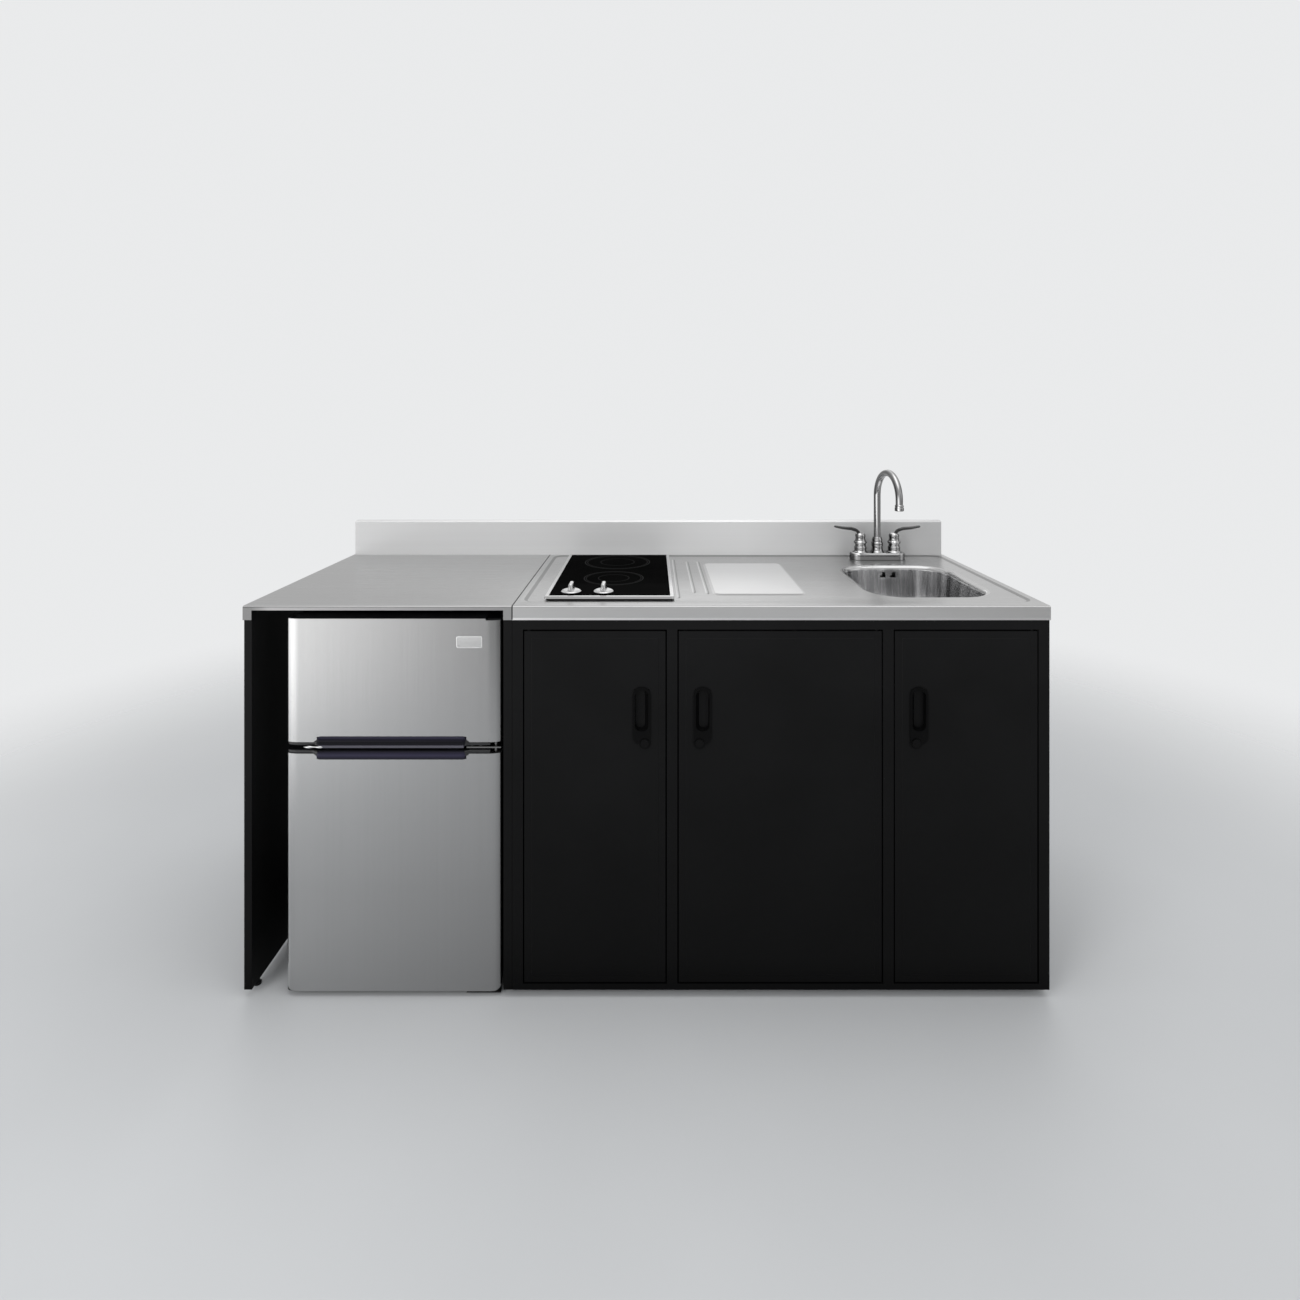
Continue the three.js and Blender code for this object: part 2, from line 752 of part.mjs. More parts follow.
// The basket stands on the strainer's funnel and has drain slots round its floor.
function makeBasket() {
  const wall = basketWall;
  const knob = basketKnobRadius;
  const outer = strainerThroat - basketClearance;
  const foot = outer - 8;
  const funnelRun = strainerThroat - (tailRadius - strainerWall);
  const floorZ = strainerFloor - (strainerFunnel * (strainerThroat - foot)) / funnelRun + seat;
  const rimZ = strainerRim - 1;
  const shell = turned([
    [0, floorZ],
    [foot, floorZ],
    [outer - 3, floorZ + 5],
    [outer, rimZ],
    [outer - wall, rimZ],
    [outer - 3 - wall, floorZ + 5 + wall],
    [foot - wall, floorZ + wall],
    [4, floorZ + wall],
    [3, rimZ - 14],
    [knob, rimZ - 10],
    [knob, rimZ - 7],
    [0, rimZ - 5],
  ], bowl.x, bowl.y);
  const slots = [];
  for (let i = 0; i < basketSlots; i += 1) {
    const slot = new THREE.BoxGeometry(basketSlotLength, basketSlotWidth, wall * 5);
    slot.translate(foot - basketSlotLength * 0.75, 0, floorZ);
    slot.rotateZ((i / basketSlots) * Math.PI * 2);
    slot.translate(bowl.x, bowl.y, 0);
    slots.push(solid(slot));
  }
  return cut(shell, ...slots);
}

place("drain_strainer", makeStrainer(), materials.steel);
place("strainer_basket", makeBasket(), materials.steel);

// ---------------------------------------------------------------- tap
const tapZ = fieldZ + seat;

function capsuleRing(out, z, steps = 8) {
  const half = faucetDepth / 2;
  return rectRing(tap.x, tap.y, faucetLength / 2 + out, half + out, half + out - 0.01, z, steps);
}

function makeTapBody() {
  const top = tapZ + faucetHeight;
  const base = skin([
    capsuleRing(0, tapZ),
    capsuleRing(0, top - 7),
    capsuleRing(-2, top - 3),
    capsuleRing(-6, top),
  ], false);
  const hub = (shift, radius, height) => turned([
    [0, tapZ + 4],
    [radius, tapZ + 4],
    [radius, top],
    [radius * 0.84, top + (height - faucetHeight) * 0.5],
    [radius * 0.8, tapZ + height],
    [0, tapZ + height],
  ], tap.x + shift, tap.y);
  const shank = (shift, radius) => rod(tap.x + shift, tap.y, tapZ - 30, tapZ + 5, radius);
  const socketFloor = tapZ + centreHubHeight - socketDepth;
  const body = joined(
    base,
    hub(-hubPitch / 2, hubRadius, hubHeight),
    hub(hubPitch / 2, hubRadius, hubHeight),
    hub(0, hubRadius - 2, centreHubHeight),
    shank(-hubPitch / 2, tapHoleRadius() - 1),
    shank(hubPitch / 2, tapHoleRadius() - 1),
  );
  const hubTop = tapZ + hubHeight;
  const bores = [-hubPitch / 2, hubPitch / 2].map((shift) => {
    return rod(tap.x + shift, tap.y, hubTop - valveDepth, hubTop + 1, valveRadius + seat);
  });
  const socketRadius = spoutRadius + runningGap;
  const socket = rod(tap.x, tap.y, socketFloor, tapZ + centreHubHeight + 1, socketRadius);
  return cut(body, socket, ...bores);
}

function makeValve(side) {
  const x = tap.x + (side * hubPitch) / 2;
  const foot = tapZ + hubHeight - valveDepth + seat;
  return rod(x, tap.y, foot, tapZ + valveTop, valveRadius, valveSteps);
}

// A lever is a bell over its valve with a blade rising outwards.
function makeLever(side) {
  const x = tap.x + (side * hubPitch) / 2;
  const z0 = tapZ + hubHeight + seat;
  const top = z0 + bellHeight;
  const bell = turned([
    [0, z0],
    [bellRadius, z0],
    [bellRadius, z0 + 5],
    [bellRadius * 0.8, z0 + bellHeight * 0.55],
    [bellRadius * 0.72, top - 5],
    [bellRadius * 0.5, top],
    [0, top + 1.5],
  ], x, tap.y);
  const bore = rod(x, tap.y, z0 - 1, tapZ + valveTop + seat, valveRadius + seat, valveSteps);
  const path = new THREE.CatmullRomCurve3([
    new THREE.Vector3(0, 0, bellHeight - 9),
    new THREE.Vector3(leverReach * 0.12, 0, bellHeight + leverRise * 0.22),
    new THREE.Vector3(leverReach * 0.34, 0, bellHeight + leverRise * 0.42),
    new THREE.Vector3(leverReach * 0.66, 0, bellHeight + leverRise * 0.52),
    new THREE.Vector3(leverReach, 0, bellHeight + leverRise * 0.68),
  ]);
  // The blade's section turns from nearly round at the bell to flat and broad at its end.
  const stations = 10;
  const around = 10;
  const rings = [];
  for (let i = 0; i <= stations; i += 1) {
    const t = i / stations;
    const centre = path.getPoint(t);
    const along = path.getTangent(t);
    const up = new THREE.Vector3(-along.z, 0, along.x);
    const tip = i === stations ? 0.72 : 1;
    const broad = (leverThickness / 2) * (0.9 + 0.65 * t) * tip;
    const deep = (leverThickness / 2) * (1.05 - 0.4 * t) * tip;
    const ring = [];
    for (let j = 0; j < around; j += 1) {
      const angle = (j / around) * Math.PI * 2;
      const point = centre.clone().addScaledVector(up, deep * Math.cos(angle));
      point.y += broad * Math.sin(angle);
      ring.push(new THREE.Vector3(x + side * point.x, tap.y + point.y, z0 + point.z));
    }
    rings.push(ring);
  }
  return cut(bell.add(skin(rings, false)), bore);
}

// The spout stands in the body's socket and turns about its riser.
function makeSpout() {
  const foot = centreHubHeight - socketDepth + seat;
  const around = 14;
  const bendSteps = 16;
  const ringAt = (y, z, tilt) => {
    const ring = [];
    for (let j = 0; j < around; j += 1) {
      const angle = (j / around) * Math.PI * 2;
      const across = spoutRadius * Math.sin(angle);
      const out = spoutRadius * Math.cos(angle);
      ring.push(new THREE.Vector3(across, y + out * Math.cos(tilt), z + out * Math.sin(tilt)));
    }
    return ring;
  };
  const rings = [ringAt(0, foot, 0)];
  for (let i = 0; i <= bendSteps; i += 1) {
    const angle = Math.PI * (i / bendSteps);
    const y = -spoutBend * (1 - Math.cos(angle));
    rings.push(ringAt(y, spoutStraight + spoutBend * Math.sin(angle), angle));
  }
  rings.push(ringAt(-2 * spoutBend, spoutStraight - spoutDrop, Math.PI));
  return skin(rings, false);
}

const spoutGroup = new THREE.Group();
spoutGroup.position.set(tap.x, tap.y, tapZ);
spoutGroup.rotation.z = (spoutTurn * Math.PI) / 180;
unit.add(spoutGroup);

function makeAerator() {
  const z1 = spoutStraight - spoutDrop - seat;
  const z0 = z1 - aeratorLength;
  const bore = 6;
  return turned([
    [bore, z0 + 3],
    [aeratorRadius - 1.5, z0],
    [aeratorRadius, z0 + 1.5],
    [aeratorRadius - 0.5, z0 + aeratorLength * 0.6],
    [spoutRadius, z1],
    [bore, z1],
    [bore, z0 + 3],
  ], 0, -2 * spoutBend);
}

function makeSpoutNut() {
  const inner = spoutRadius + runningGap;
  const z0 = tapZ + centreHubHeight + seat;
  const outer = (hubRadius - 2) * 0.78;
  return turned([
    [inner, z0],
    [outer, z0],
    [outer, z0 + nutHeight * 0.5],
    [outer - 3, z0 + nutHeight],
    [inner, z0 + nutHeight],
    [inner, z0],
  ], tap.x, tap.y);
}

place("faucet_body", makeTapBody(), materials.chrome);
place("faucet_valve_left", makeValve(-1), materials.brass);
place("faucet_valve_right", makeValve(1), materials.brass);
place("faucet_lever_left", makeLever(-1), materials.chrome);
place("faucet_lever_right", makeLever(1), materials.chrome);
place("spout_nut", makeSpoutNut(), materials.chrome);
place("spout", makeSpout(), materials.chrome, spoutGroup);
place("aerator", makeAerator(), materials.chrome, spoutGroup);

// ---------------------------------------------------------------- hob
const hobSeat = fieldZ + seat;
const trimBottom = hobSeat + hobLift;
const trimTop = trimBottom + hobTrimHeight;
const glassTop = trimTop - glassDrop;
const glassBottom = glassTop - glassThickness;
const knobY = hob.y0 + knobFront;
const knobXs = [-knobPitch / 2, knobPitch / 2].map((shift) => hob.x0 + knobsFromLeft + shift);

function makePan() {
  const lip = trimBottom - seat;
  const floor = lip - panDepth;
  const px = panWidth / 2;
  const py = panLength / 2;
  const flange = block(
    hob.x0 + hobFlangeInset, hob.x1 - hobFlangeInset, hob.y0 + hobFlangeInset, hob.y1 - hobFlangeInset,
    hobSeat, lip,
  );
  const tray = block(hob.x - px, hob.x + px, hob.y - py, hob.y + py, floor, lip - 1);
  const hollow = block(
    hob.x - px + panWall, hob.x + px - panWall, hob.y - py + panWall, hob.y + py - panWall,
    floor + panWall, lip + 1,
  );
  return cut(flange.add(tray), hollow);
}

function makeTrim() {
  const outer = frustum(hob.x0, hob.x1, hob.y0, hob.y1, 6, trimBottom, trimTop, 1.5);
  const lower = block(
    hob.x0 + hobTrim + 2, hob.x1 - hobTrim - 2, hob.y0 + hobTrim + 2, hob.y1 - hobTrim - 2,
    trimBottom - 1, trimTop + 1,
  );
  const rebate = block(
    hob.x0 + hobTrim, hob.x1 - hobTrim, hob.y0 + hobTrim, hob.y1 - hobTrim,
    glassBottom - seat, trimTop + 1,
  );
  return cut(outer, lower, rebate);
}

function makeGlass() {
  const gap = hobTrim + seat;
  const plate = block(hob.x0 + gap, hob.x1 - gap, hob.y0 + gap, hob.y1 - gap, glassBottom, glassTop);
  const holes = knobXs.map((x) => rod(x, knobY, glassBottom - 1, glassTop + 1, shaftHole, shaftSteps));
  return cut(plate, ...holes);
}

const panFloor = trimBottom - seat - panDepth + panWall;
// The two zones share the length left in the pan behind the knobs.
const zonesFrom = knobY + knobRadius;
const zoneSlack = hob.y1 - panInsetY - panWall - zonesFrom - 2 * zoneFrontRadius - 2 * zoneRearRadius;
const zoneFrontY = zonesFrom + zoneGapFront * zoneSlack + zoneFrontRadius;
const zoneRearY = zoneFrontY + zoneFrontRadius + zoneGapMiddle * zoneSlack + zoneRearRadius;

// A radiant element: a dish held up against the glass by its post.
function makeElement(radius, y) {
  const top = glassBottom - seat;
  const z0 = top - elementHeight;
  return turned([
    [0, panFloor + seat],
    [elementPost, panFloor + seat],
    [elementPost, z0],
    [radius, z0],
    [radius, top],
    [radius - elementRim, top],
    [radius - elementRim, z0 + 5],
    [0, z0 + 5],
  ], hob.x, y);
}

// Both energy regulators on their bracket, standing on the pan's floor.
function makeSwitches() {
  const top = glassBottom - switchDrop;
  const y0 = knobY - switchFront;
  const y1 = y0 + switchLength;
  const floor = panFloor + seat;
  const bracket = block(knobXs[0] - switchHalf, knobXs[1] + switchHalf, y0, y1, floor, floor + 3);
  const boxes = knobXs.map((x) => block(x - switchHalf, x + switchHalf, y0, y1, floor, top));
  const bores = knobXs.map((x) => rod(x, knobY, top - 10, top + 1, shaftRadius + seat, shaftSteps));
  return cut(joined(bracket, ...boxes), ...bores);
}

function makeKnob(x) {
  const z0 = glassTop + seat;
  const skirtTop = z0 + knobSkirt;
  const top = z0 + gripHeight;
  const shaftFoot = glassBottom - shaftLength;
  const skirt = turned([
    [0, z0],
    [knobRadius, z0],
    [knobRadius, z0 + 2],
    [knobRadius - 2.5, skirtTop - 1],
    [knobRadius - 5, skirtTop],
    [0, skirtTop],
  ], x, knobY);
  const grip = skin([
    rectRing(x, knobY, gripWidth / 2 + 2.5, knobRadius - 3, 5, skirtTop - 1.5, 3),
    rectRing(x, knobY, gripWidth / 2, knobRadius - 4, 5, skirtTop + 4, 3),
    rectRing(x, knobY, gripWidth / 2 - 0.6, knobRadius - 6, 4, top - 3, 3),
    rectRing(x, knobY, gripWidth / 2 - 2, knobRadius - 9, 3, top, 3),
  ], false);
  const shaft = rod(x, knobY, shaftFoot, z0 + 1, shaftRadius, shaftSteps);
  return joined(skirt, grip, shaft);
}

place("hob_pan", makePan(), materials.blackPaint);
place("hob_trim", makeTrim(), materials.steel);
place("hob_glass", makeGlass(), materials.glass);
place("element_front", makeElement(zoneFrontRadius, zoneFrontY), materials.darkSteel);
place("element_rear", makeElement(zoneRearRadius, zoneRearY), materials.darkSteel);
place("hob_switches", makeSwitches(), materials.blackPlastic);
place("hob_knob_left", makeKnob(knobXs[0]), materials.silver);
place("hob_knob_right", makeKnob(knobXs[1]), materials.silver);

// ---------------------------------------------------------------- cabinet
// Door openings between stiles and mullions, left to right.
const opening1 = { x0: bodyLeft + stileWidth };
opening1.x1 = opening1.x0 + doorLeftWidth + 2 * doorGap;
const opening2 = { x0: opening1.x1 + mullionWidth };
opening2.x1 = opening2.x0 + doorCentreWidth + 2 * doorGap;
const opening3 = { x0: opening2.x1 + mullionWidth, x1: bodyRight - stileWidth };
const openings = [opening1, opening2, opening3];
const openingBottom = footHeight + bottomRail;
const doors = [
  { name: "door_left", opening: opening1, hinge: -1 },
  { name: "door_centre", opening: opening2, hinge: 1 },
  { name: "door_right", opening: opening3, hinge: 1 },
];
doors.forEach((door) => {
  door.x0 = door.opening.x0 + doorGap;
  door.x1 = door.opening.x1 - doorGap;
  door.z0 = openingBottom + doorGap;
  door.z1 = headerBottom - doorTopGap;
  door.pivotX = door.hinge < 0 ? door.x0 + pivotInset : door.x1 - pivotInset;
  door.pivotY = bodyFront + pivotDepth;
  door.pullX = door.hinge < 0 ? door.x1 - pullInset : door.x0 + pullInset;
});

function makeFrame() {
  const plate = block(bodyLeft, bodyRight, bodyFront, frameBack, footHeight, cabinetTop);
  const holes = openings.map((gap) => {
    return block(gap.x0, gap.x1, bodyFront - 1, frameBack + 1, openingBottom, headerBottom);
  });
  const studs = doors.flatMap((door) => [
    rod(door.pivotX, door.pivotY, openingBottom - 2, door.z0 + studLength, studRadius, pinSteps),
    rod(door.pivotX, door.pivotY, door.z1 - studLength, headerBottom + 2, studRadius, pinSteps),
  ]);
  return joined(cut(plate, ...holes), ...studs);
}

place("face_frame", makeFrame(), materials.blackPaint);
place(
  "cabinet_side_left",
  block(bodyLeft, bodyLeft + panelThickness, frameBack, bodyBack, footHeight, cabinetTop),
  materials.blackPaint,
);
place(
  "cabinet_side_right",
  block(bodyRight - panelThickness, bodyRight, frameBack, bodyBack, footHeight, cabinetTop),
  materials.blackPaint,
);
const insideLeft = bodyLeft + panelThickness;
const insideRight = bodyRight - panelThickness;
const backFront = bodyBack - backThickness;
place(
  "cabinet_floor",
  block(insideLeft, insideRight, frameBack, backFront, footHeight, floorTop),
  materials.blackPaint,
);

// The back has an opening behind the sink for the water and waste pipes.
function makeBack() {
  const panel = block(insideLeft, insideRight, backFront, bodyBack, footHeight, cabinetTop);
  const service = block(
    bowl.x - serviceWidth / 2, bowl.x + serviceWidth / 2, backFront - 1, bodyBack + 1,
    serviceSill, serviceSill + serviceHeight,
  );
  return panel.subtract(service);
}

place("cabinet_back", makeBack(), materials.blackPaint);

const partitionX = (opening1.x1 + opening2.x0) / 2;
const partitionLeft = partitionX - partitionThickness / 2;
place(
  "partition",
  block(
    partitionLeft, partitionLeft + partitionThickness, frameBack, backFront, floorTop,
    trimBottom - panDepth - 10,
  ),
  materials.blackPaint,
);
place(
  "shelf",
  block(
    insideLeft, partitionLeft, frameBack + shelfSetback, backFront,
    shelfHeight, shelfHeight + shelfThickness,
  ),
  materials.blackPaint,
);

function makeFoot(x, y, radius) {
  const neck = radius * 0.55;
  return turned([
    [0, 0],
    [radius, 0],
    [radius, 4],
    [neck, 7],
    [neck, footHeight],
    [0, footHeight],
  ], x, y, 0, shaftSteps);
}

const frontFoot = bodyFront + footInset;
const backFoot = bodyBack - footInset;
place("foot_front_left", makeFoot(bodyLeft + footInset, frontFoot, footRadius), materials.blackPlastic);
place("foot_front_right", makeFoot(bodyRight - footInset, frontFoot, footRadius), materials.blackPlastic);
place("foot_back_left", makeFoot(bodyLeft + footInset, backFoot, footRadius), materials.blackPlastic);
place("foot_back_right", makeFoot(bodyRight - footInset, backFoot, footRadius), materials.blackPlastic);

// ---------------------------------------------------------------- cabinet doors
function makeDoor(door) {
  const back = bodyFront + doorThickness;
  const face = bodyFront + doorField;
  const slab = block(door.x0, door.x1, face, back, door.z0, door.z1);
  // The face is pressed forward inside its border.
  const ringAt = (inset, y) => {
    return frontRing(door.x0 + inset, door.x1 - inset, door.z0 + inset, door.z1 - inset, y);
  };
  const field = skin([ringAt(doorBorder, face + 0.5), ringAt(doorBorder + 2, bodyFront)], false);
  const bore = studRadius + studClearance;
  const deep = studLength + seat;
  const lower = rod(door.pivotX, door.pivotY, door.z0 - 1, door.z0 + deep, bore, pinSteps);
  const upper = rod(door.pivotX, door.pivotY, door.z1 - deep, door.z1 + 1, bore, pinSteps);
  return cut(slab.add(field), lower, upper, pullPocket(door, seat));
}

// A rectangle of points standing in the front plane at depth y.
function frontRing(x0, x1, z0, z1, y) {
  return [[x0, z0], [x1, z0], [x1, z1], [x0, z1]].map(([x, z]) => new THREE.Vector3(x, y, z));
}

// The space of the pull's cup and catch case in the door, grown by clear.
function pullPocket(door, clear) {
  const cupTop = pullCentre + pullHeight / 2 - pullCupMargin;
  const cupBottom = cupTop - pullCupHeight - 2 * pullWall;
  const halfCup = pullCupWidth / 2 + pullWall;
  const back = bodyFront + pullCupDepth + pullWall + clear;
  const cup = block(
    door.pullX - halfCup - clear, door.pullX + halfCup + clear, bodyFront - 1, back,
    cupBottom - clear, cupTop + clear,
  );
  const boss = bossRod(door, buttonRadius + 2 + clear, bodyFront - 1, bodyFront + bossDepth + clear);
  return cup.add(boss);
}

// A round shape across the door at the catch button.
function bossRod(door, radius, y0, y1) {
  const geometry = new THREE.CylinderGeometry(radius, radius, y1 - y0, valveSteps);
  geometry.translate(door.pullX + door.hinge * -bossShift, (y0 + y1) / 2, bossCentre);
  return solid(geometry);
}

// Flush pull: a moulded plate with a finger cup, and a round boss for the catch button at its foot.
function makePull(door) {
  const x0 = door.pullX - pullWidth / 2;
  const x1 = door.pullX + pullWidth / 2;
  const z0 = pullCentre - pullHeight / 2;
  const z1 = pullCentre + pullHeight / 2;
  const face = bodyFront - pullProud;
  const plate = prismY(roundedRect(x0, x1, z0, z1, pullCorner), face, bodyFront - seat, 5);
  const boss = bossRod(door, bossRadius, face, bodyFront - seat);
  const cupTop = z1 - pullCupMargin - pullWall;
  const cupBottom = cupTop - pullCupHeight;
  const half = pullCupWidth / 2;
  const body = pullPocket(door, 0).intersect(
    block(x0 - 20, x1 + 20, bodyFront - seat - 0.5, bodyFront + doorThickness, z0 - 30, z1 + 30),
  );
  // The cup falls away gently from the free edge and has a steep wall towards the hinge.
  const low = { x0: door.pullX - half, x1: door.pullX + half };
  const deep = bodyFront + pullCupDepth;
  const free = door.hinge < 0 ? "x1" : "x0";
  const floorEdge = { ...low };
  floorEdge[free] += door.hinge * pullCupSlope;
  const mouth = face - 1;
  const cup = skin([
    frontRing(low.x0, low.x1, cupBottom, cupTop, mouth),
    frontRing(floorEdge.x0, floorEdge.x1, cupBottom + 3, cupTop - 2, deep),
  ], false);
  const bore = bossRod(door, buttonRadius + runningGap, face - 1, bodyFront + buttonDepth + seat);
  return cut(joined(plate, boss, body), cup, bore);
}

function makeButton(door) {
  const face = bodyFront - pullProud - buttonProud;
  return bossRod(door, buttonRadius, face, bodyFront + buttonDepth - buttonTravel - seat);
}

doors.forEach((door) => {
  place(door.name, makeDoor(door), materials.blackPaint);
  place(`${door.name}_pull`, makePull(door), materials.blackPlastic);
  place(`${door.name}_catch_button`, makeButton(door), materials.blackPlastic);
});

// ---------------------------------------------------------------- refrigerator bay
const bayLeft = leftEnd + bodySetback;
const bayPanelInner = leftEnd + postWidth;
place(
  "bay_side_left",
  block(bayLeft, bayPanelInner, bodyFront, bodyBack, footHeight, noseFoot),
  materials.blackPaint,
);
const bayRight = seamX - seamGap / 2;
place(
  "bay_side_right",
  block(seamX - postWidth, bayRight, bodyFront, bodyBack, footHeight, noseFoot),
  materials.blackPaint,
);
place(
  "bay_rear_rail",
  block(
    bayPanelInner, seamX - postWidth, bodyBack - panelThickness, bodyBack, railTop - railHeight, railTop,
  ),
  materials.blackPaint,
);
const bayFootX = (bayLeft + bayPanelInner) / 2;
place("bay_foot_front", makeFoot(bayFootX, frontFoot, bayFootRadius), materials.blackPlastic);
place("bay_foot_back", makeFoot(bayFootX, backFoot, bayFootRadius), materials.blackPlastic);

// ---------------------------------------------------------------- refrigerator
const fridge = {
  x0: leftEnd + postWidth + fridgeSideSpace,
  x1: leftEnd + postWidth + fridgeSideSpace + fridgeWidth,
  front: frontY + fridgeSetback,
};
fridge.doorBack = fridge.front + fridgeDoorThickness;
fridge.caseFront = fridge.doorBack + fridgeGap;
fridge.caseBack = bodyBack - panelThickness - caseRearSpace;
fridge.caseX0 = fridge.x0 + caseInset;
fridge.caseX1 = fridge.x1 - caseInset;
fridge.pivotX = fridge.x1 - hingeInset;
fridge.pivotY = fridge.front + hingeDepth;
const betweenDoors = (freezerDoorBottom + fridgeDoorTop) / 2;
const cavity = {
  x0: fridge.caseX0 + caseWall,
  x1: fridge.caseX1 - caseWall,
  back: fridge.caseBack - caseWall,
  freezerBottom: betweenDoors + caseWall / 2,
  freezerTop: caseTop - caseWall,
  bottom: caseBottom + caseWall,
  top: betweenDoors - caseWall / 2,
};
const stepTop = caseBottom + compressorBayHeight + caseWall;
const stepFront = fridge.caseBack - compressorBay - caseWall;

// The case has a step over the compressor, two skids, and a bracket that steadies it against the
// bay's rear rail.
function makeCase() {
  const shell = block(
    fridge.caseX0, fridge.caseX1, fridge.caseFront, fridge.caseBack, caseBottom, caseTop,
  );
  const freezer = block(
    cavity.x0, cavity.x1, fridge.caseFront - 1, cavity.back, cavity.freezerBottom, cavity.freezerTop,
  );
  const fresh = block(
    cavity.x0, cavity.x1, fridge.caseFront - 1, cavity.back, cavity.bottom, cavity.top,
  );
  const step = block(
    cavity.x0 - 1, cavity.x1 + 1, stepFront, cavity.back + 1, cavity.bottom - 1, stepTop,
  );
  const machine = block(
    fridge.caseX0 + machineSide, fridge.caseX1 - machineSide, fridge.caseBack - compressorBay,
    fridge.caseBack + 1, caseBottom + compressorFloor, caseBottom + compressorBayHeight,
  );
  const ledges = [[cavity.x0, 1], [cavity.x1, -1]].map(([x, side]) => {
    const ends = [x - side, x + side * ledgeWidth];
    return block(
      Math.min(...ends), Math.max(...ends), fridge.caseFront + ledgeSetback, cavity.back + 1,
      glassShelfHeight - ledgeRise, glassShelfHeight - seat,
    );
  });
  const skids = [fridge.caseX0 + skidInset, fridge.caseX1 - skidInset].map((x) => {
    return block(
      x - skidWidth / 2, x + skidWidth / 2, fridge.caseFront + skidSetback,
      fridge.caseBack - skidSetback, 0, caseBottom + 1,
    );
  });
  const railFront = bodyBack - panelThickness - seat;
  const bracketX0 = (fridge.caseX0 + fridge.caseX1 - bracketWidth) / 2;
  const bracketX1 = bracketX0 + bracketWidth;
  const leaf = block(
    bracketX0, bracketX1, fridge.caseBack - 1, railFront, caseTop - bracketThickness, caseTop,
  );
  const flange = block(
    bracketX0, bracketX1, railFront - bracketThickness, railFront, caseTop - bracketDrop, caseTop,
  );
  const body = cut(shell, freezer, fresh.subtract(step), machine);
  return joined(body, leaf, flange, ...ledges, ...skids);
}

function doorOutline() {
  const shape = new THREE.Shape();
  const wide = fridgeDoorEdgeWidth;
  const deep = fridgeDoorEdgeDepth;
  const y = fridge.front + deep;
  shape.moveTo(fridge.x1, fridge.doorBack);
  shape.lineTo(fridge.x0, fridge.doorBack);
  shape.absellipse(fridge.x0 + wide, y, wide, deep, Math.PI, Math.PI * 1.5, false);
  shape.absellipse(fridge.x1 - wide, y, wide, deep, -Math.PI / 2, 0, false);
  return shape;
}

const linerReach = fridge.doorBack + fridgeGap + linerRise;
const gripX1 = fridge.x1 - gripFromRight;
const gripX0 = gripX1 - gripLength;

// edge is the door's edge next to the other door, into is +1 where the door lies above that edge.
function makeFridgeDoor(z0, z1, pinRoot, edge, into) {
  const slab = prismZ(doorOutline(), z0, z1, 6);
  const inner = skin([
    backRing(linerInset, z0, z1, fridge.doorBack - 1),
    backRing(linerInset + 4, z0, z1, linerReach),
  ], false);
  const hollow = skin([
    backRing(linerInset + linerWall, z0, z1, fridge.doorBack + 6),
    backRing(linerInset + linerWall, z0, z1, linerReach + 1),
  ], false);
  const notchEnd = edge + into * (gripOverlap - seat);
  const notch = block(
    gripX0 - seat, gripX1 + seat, fridge.front - 1, fridge.front + gripChannel + gripWall + seat,
    Math.min(edge - into, notchEnd), Math.max(edge - into, notchEnd),
  );
  const bore = hingePin + hingeClearance;
  const deep = hingePinLength + seat;
  const lower = rod(fridge.pivotX, fridge.pivotY, z0 - 1, z0 + deep, bore, pinSteps);
  const upper = rod(fridge.pivotX, fridge.pivotY, pinRoot - deep, z1 + 1, bore, pinSteps);
  return cut(joined(slab, inner), hollow, notch, lower, upper);
}

// A rectangle of points on the inner side of a door, set in from its edges.
function backRing(inset, z0, z1, y) {
  return frontRing(fridge.x0 + inset, fridge.x1 - inset, z0 + inset, z1 - inset, y);
}

// Grip moulding: an outer lip that stands proud of the door and a channel for the fingers behind it.
function makeGrip(edge, into) {
  const y = (deep) => fridge.front + deep;
  const z = (high) => edge + into * high;
  const inner = gripOverlap - gripWall;
  const outline = polygon([
    [y(-seat), z(gripOverlap)],
    [y(-gripProud * 0.55), z(gripOverlap - 1)],
    [y(-gripProud), z(gripOverlap * 0.55)],
    [y(-gripProud), z(-gripHang + 2)],
    [y(-gripProud + 1.2), z(-gripHang)],
    [y(-gripProud + gripWall), z(-gripHang + 0.8)],
    [y(-gripProud + gripWall), z(inner - 3)],
    [y(-gripProud + gripWall + 3), z(inner)],
    [y(gripChannel - 3), z(inner)],
    [y(gripChannel), z(inner - 3)],
    [y(gripChannel), z(0.5)],
    [y(gripChannel + gripWall), z(0.5)],
    [y(gripChannel + gripWall), z(gripOverlap - 2 * seat)],
    [y(-seat), z(gripOverlap - 2 * seat)],
  ]);
  const bar = prismX(outline, gripX0, gripX1, 3);
  const ends = [gripX0, gripX1 - gripWall].map((x0) => {
    const lipInside = polygon([
      [y(-gripProud + 1), z(-gripHang + 2)],
      [y(-gripProud + 1), z(inner)],
      [y(gripChannel + 1), z(inner + 1)],
      [y(gripChannel + 1), z(0.5)],
      [y(1), z(0.5)],
      [y(1), z(-gripHang + 2)],
    ]);
    return prismX(lipInside, x0, x0 + gripWall, 3);
  });
  return joined(bar, ...ends);
}

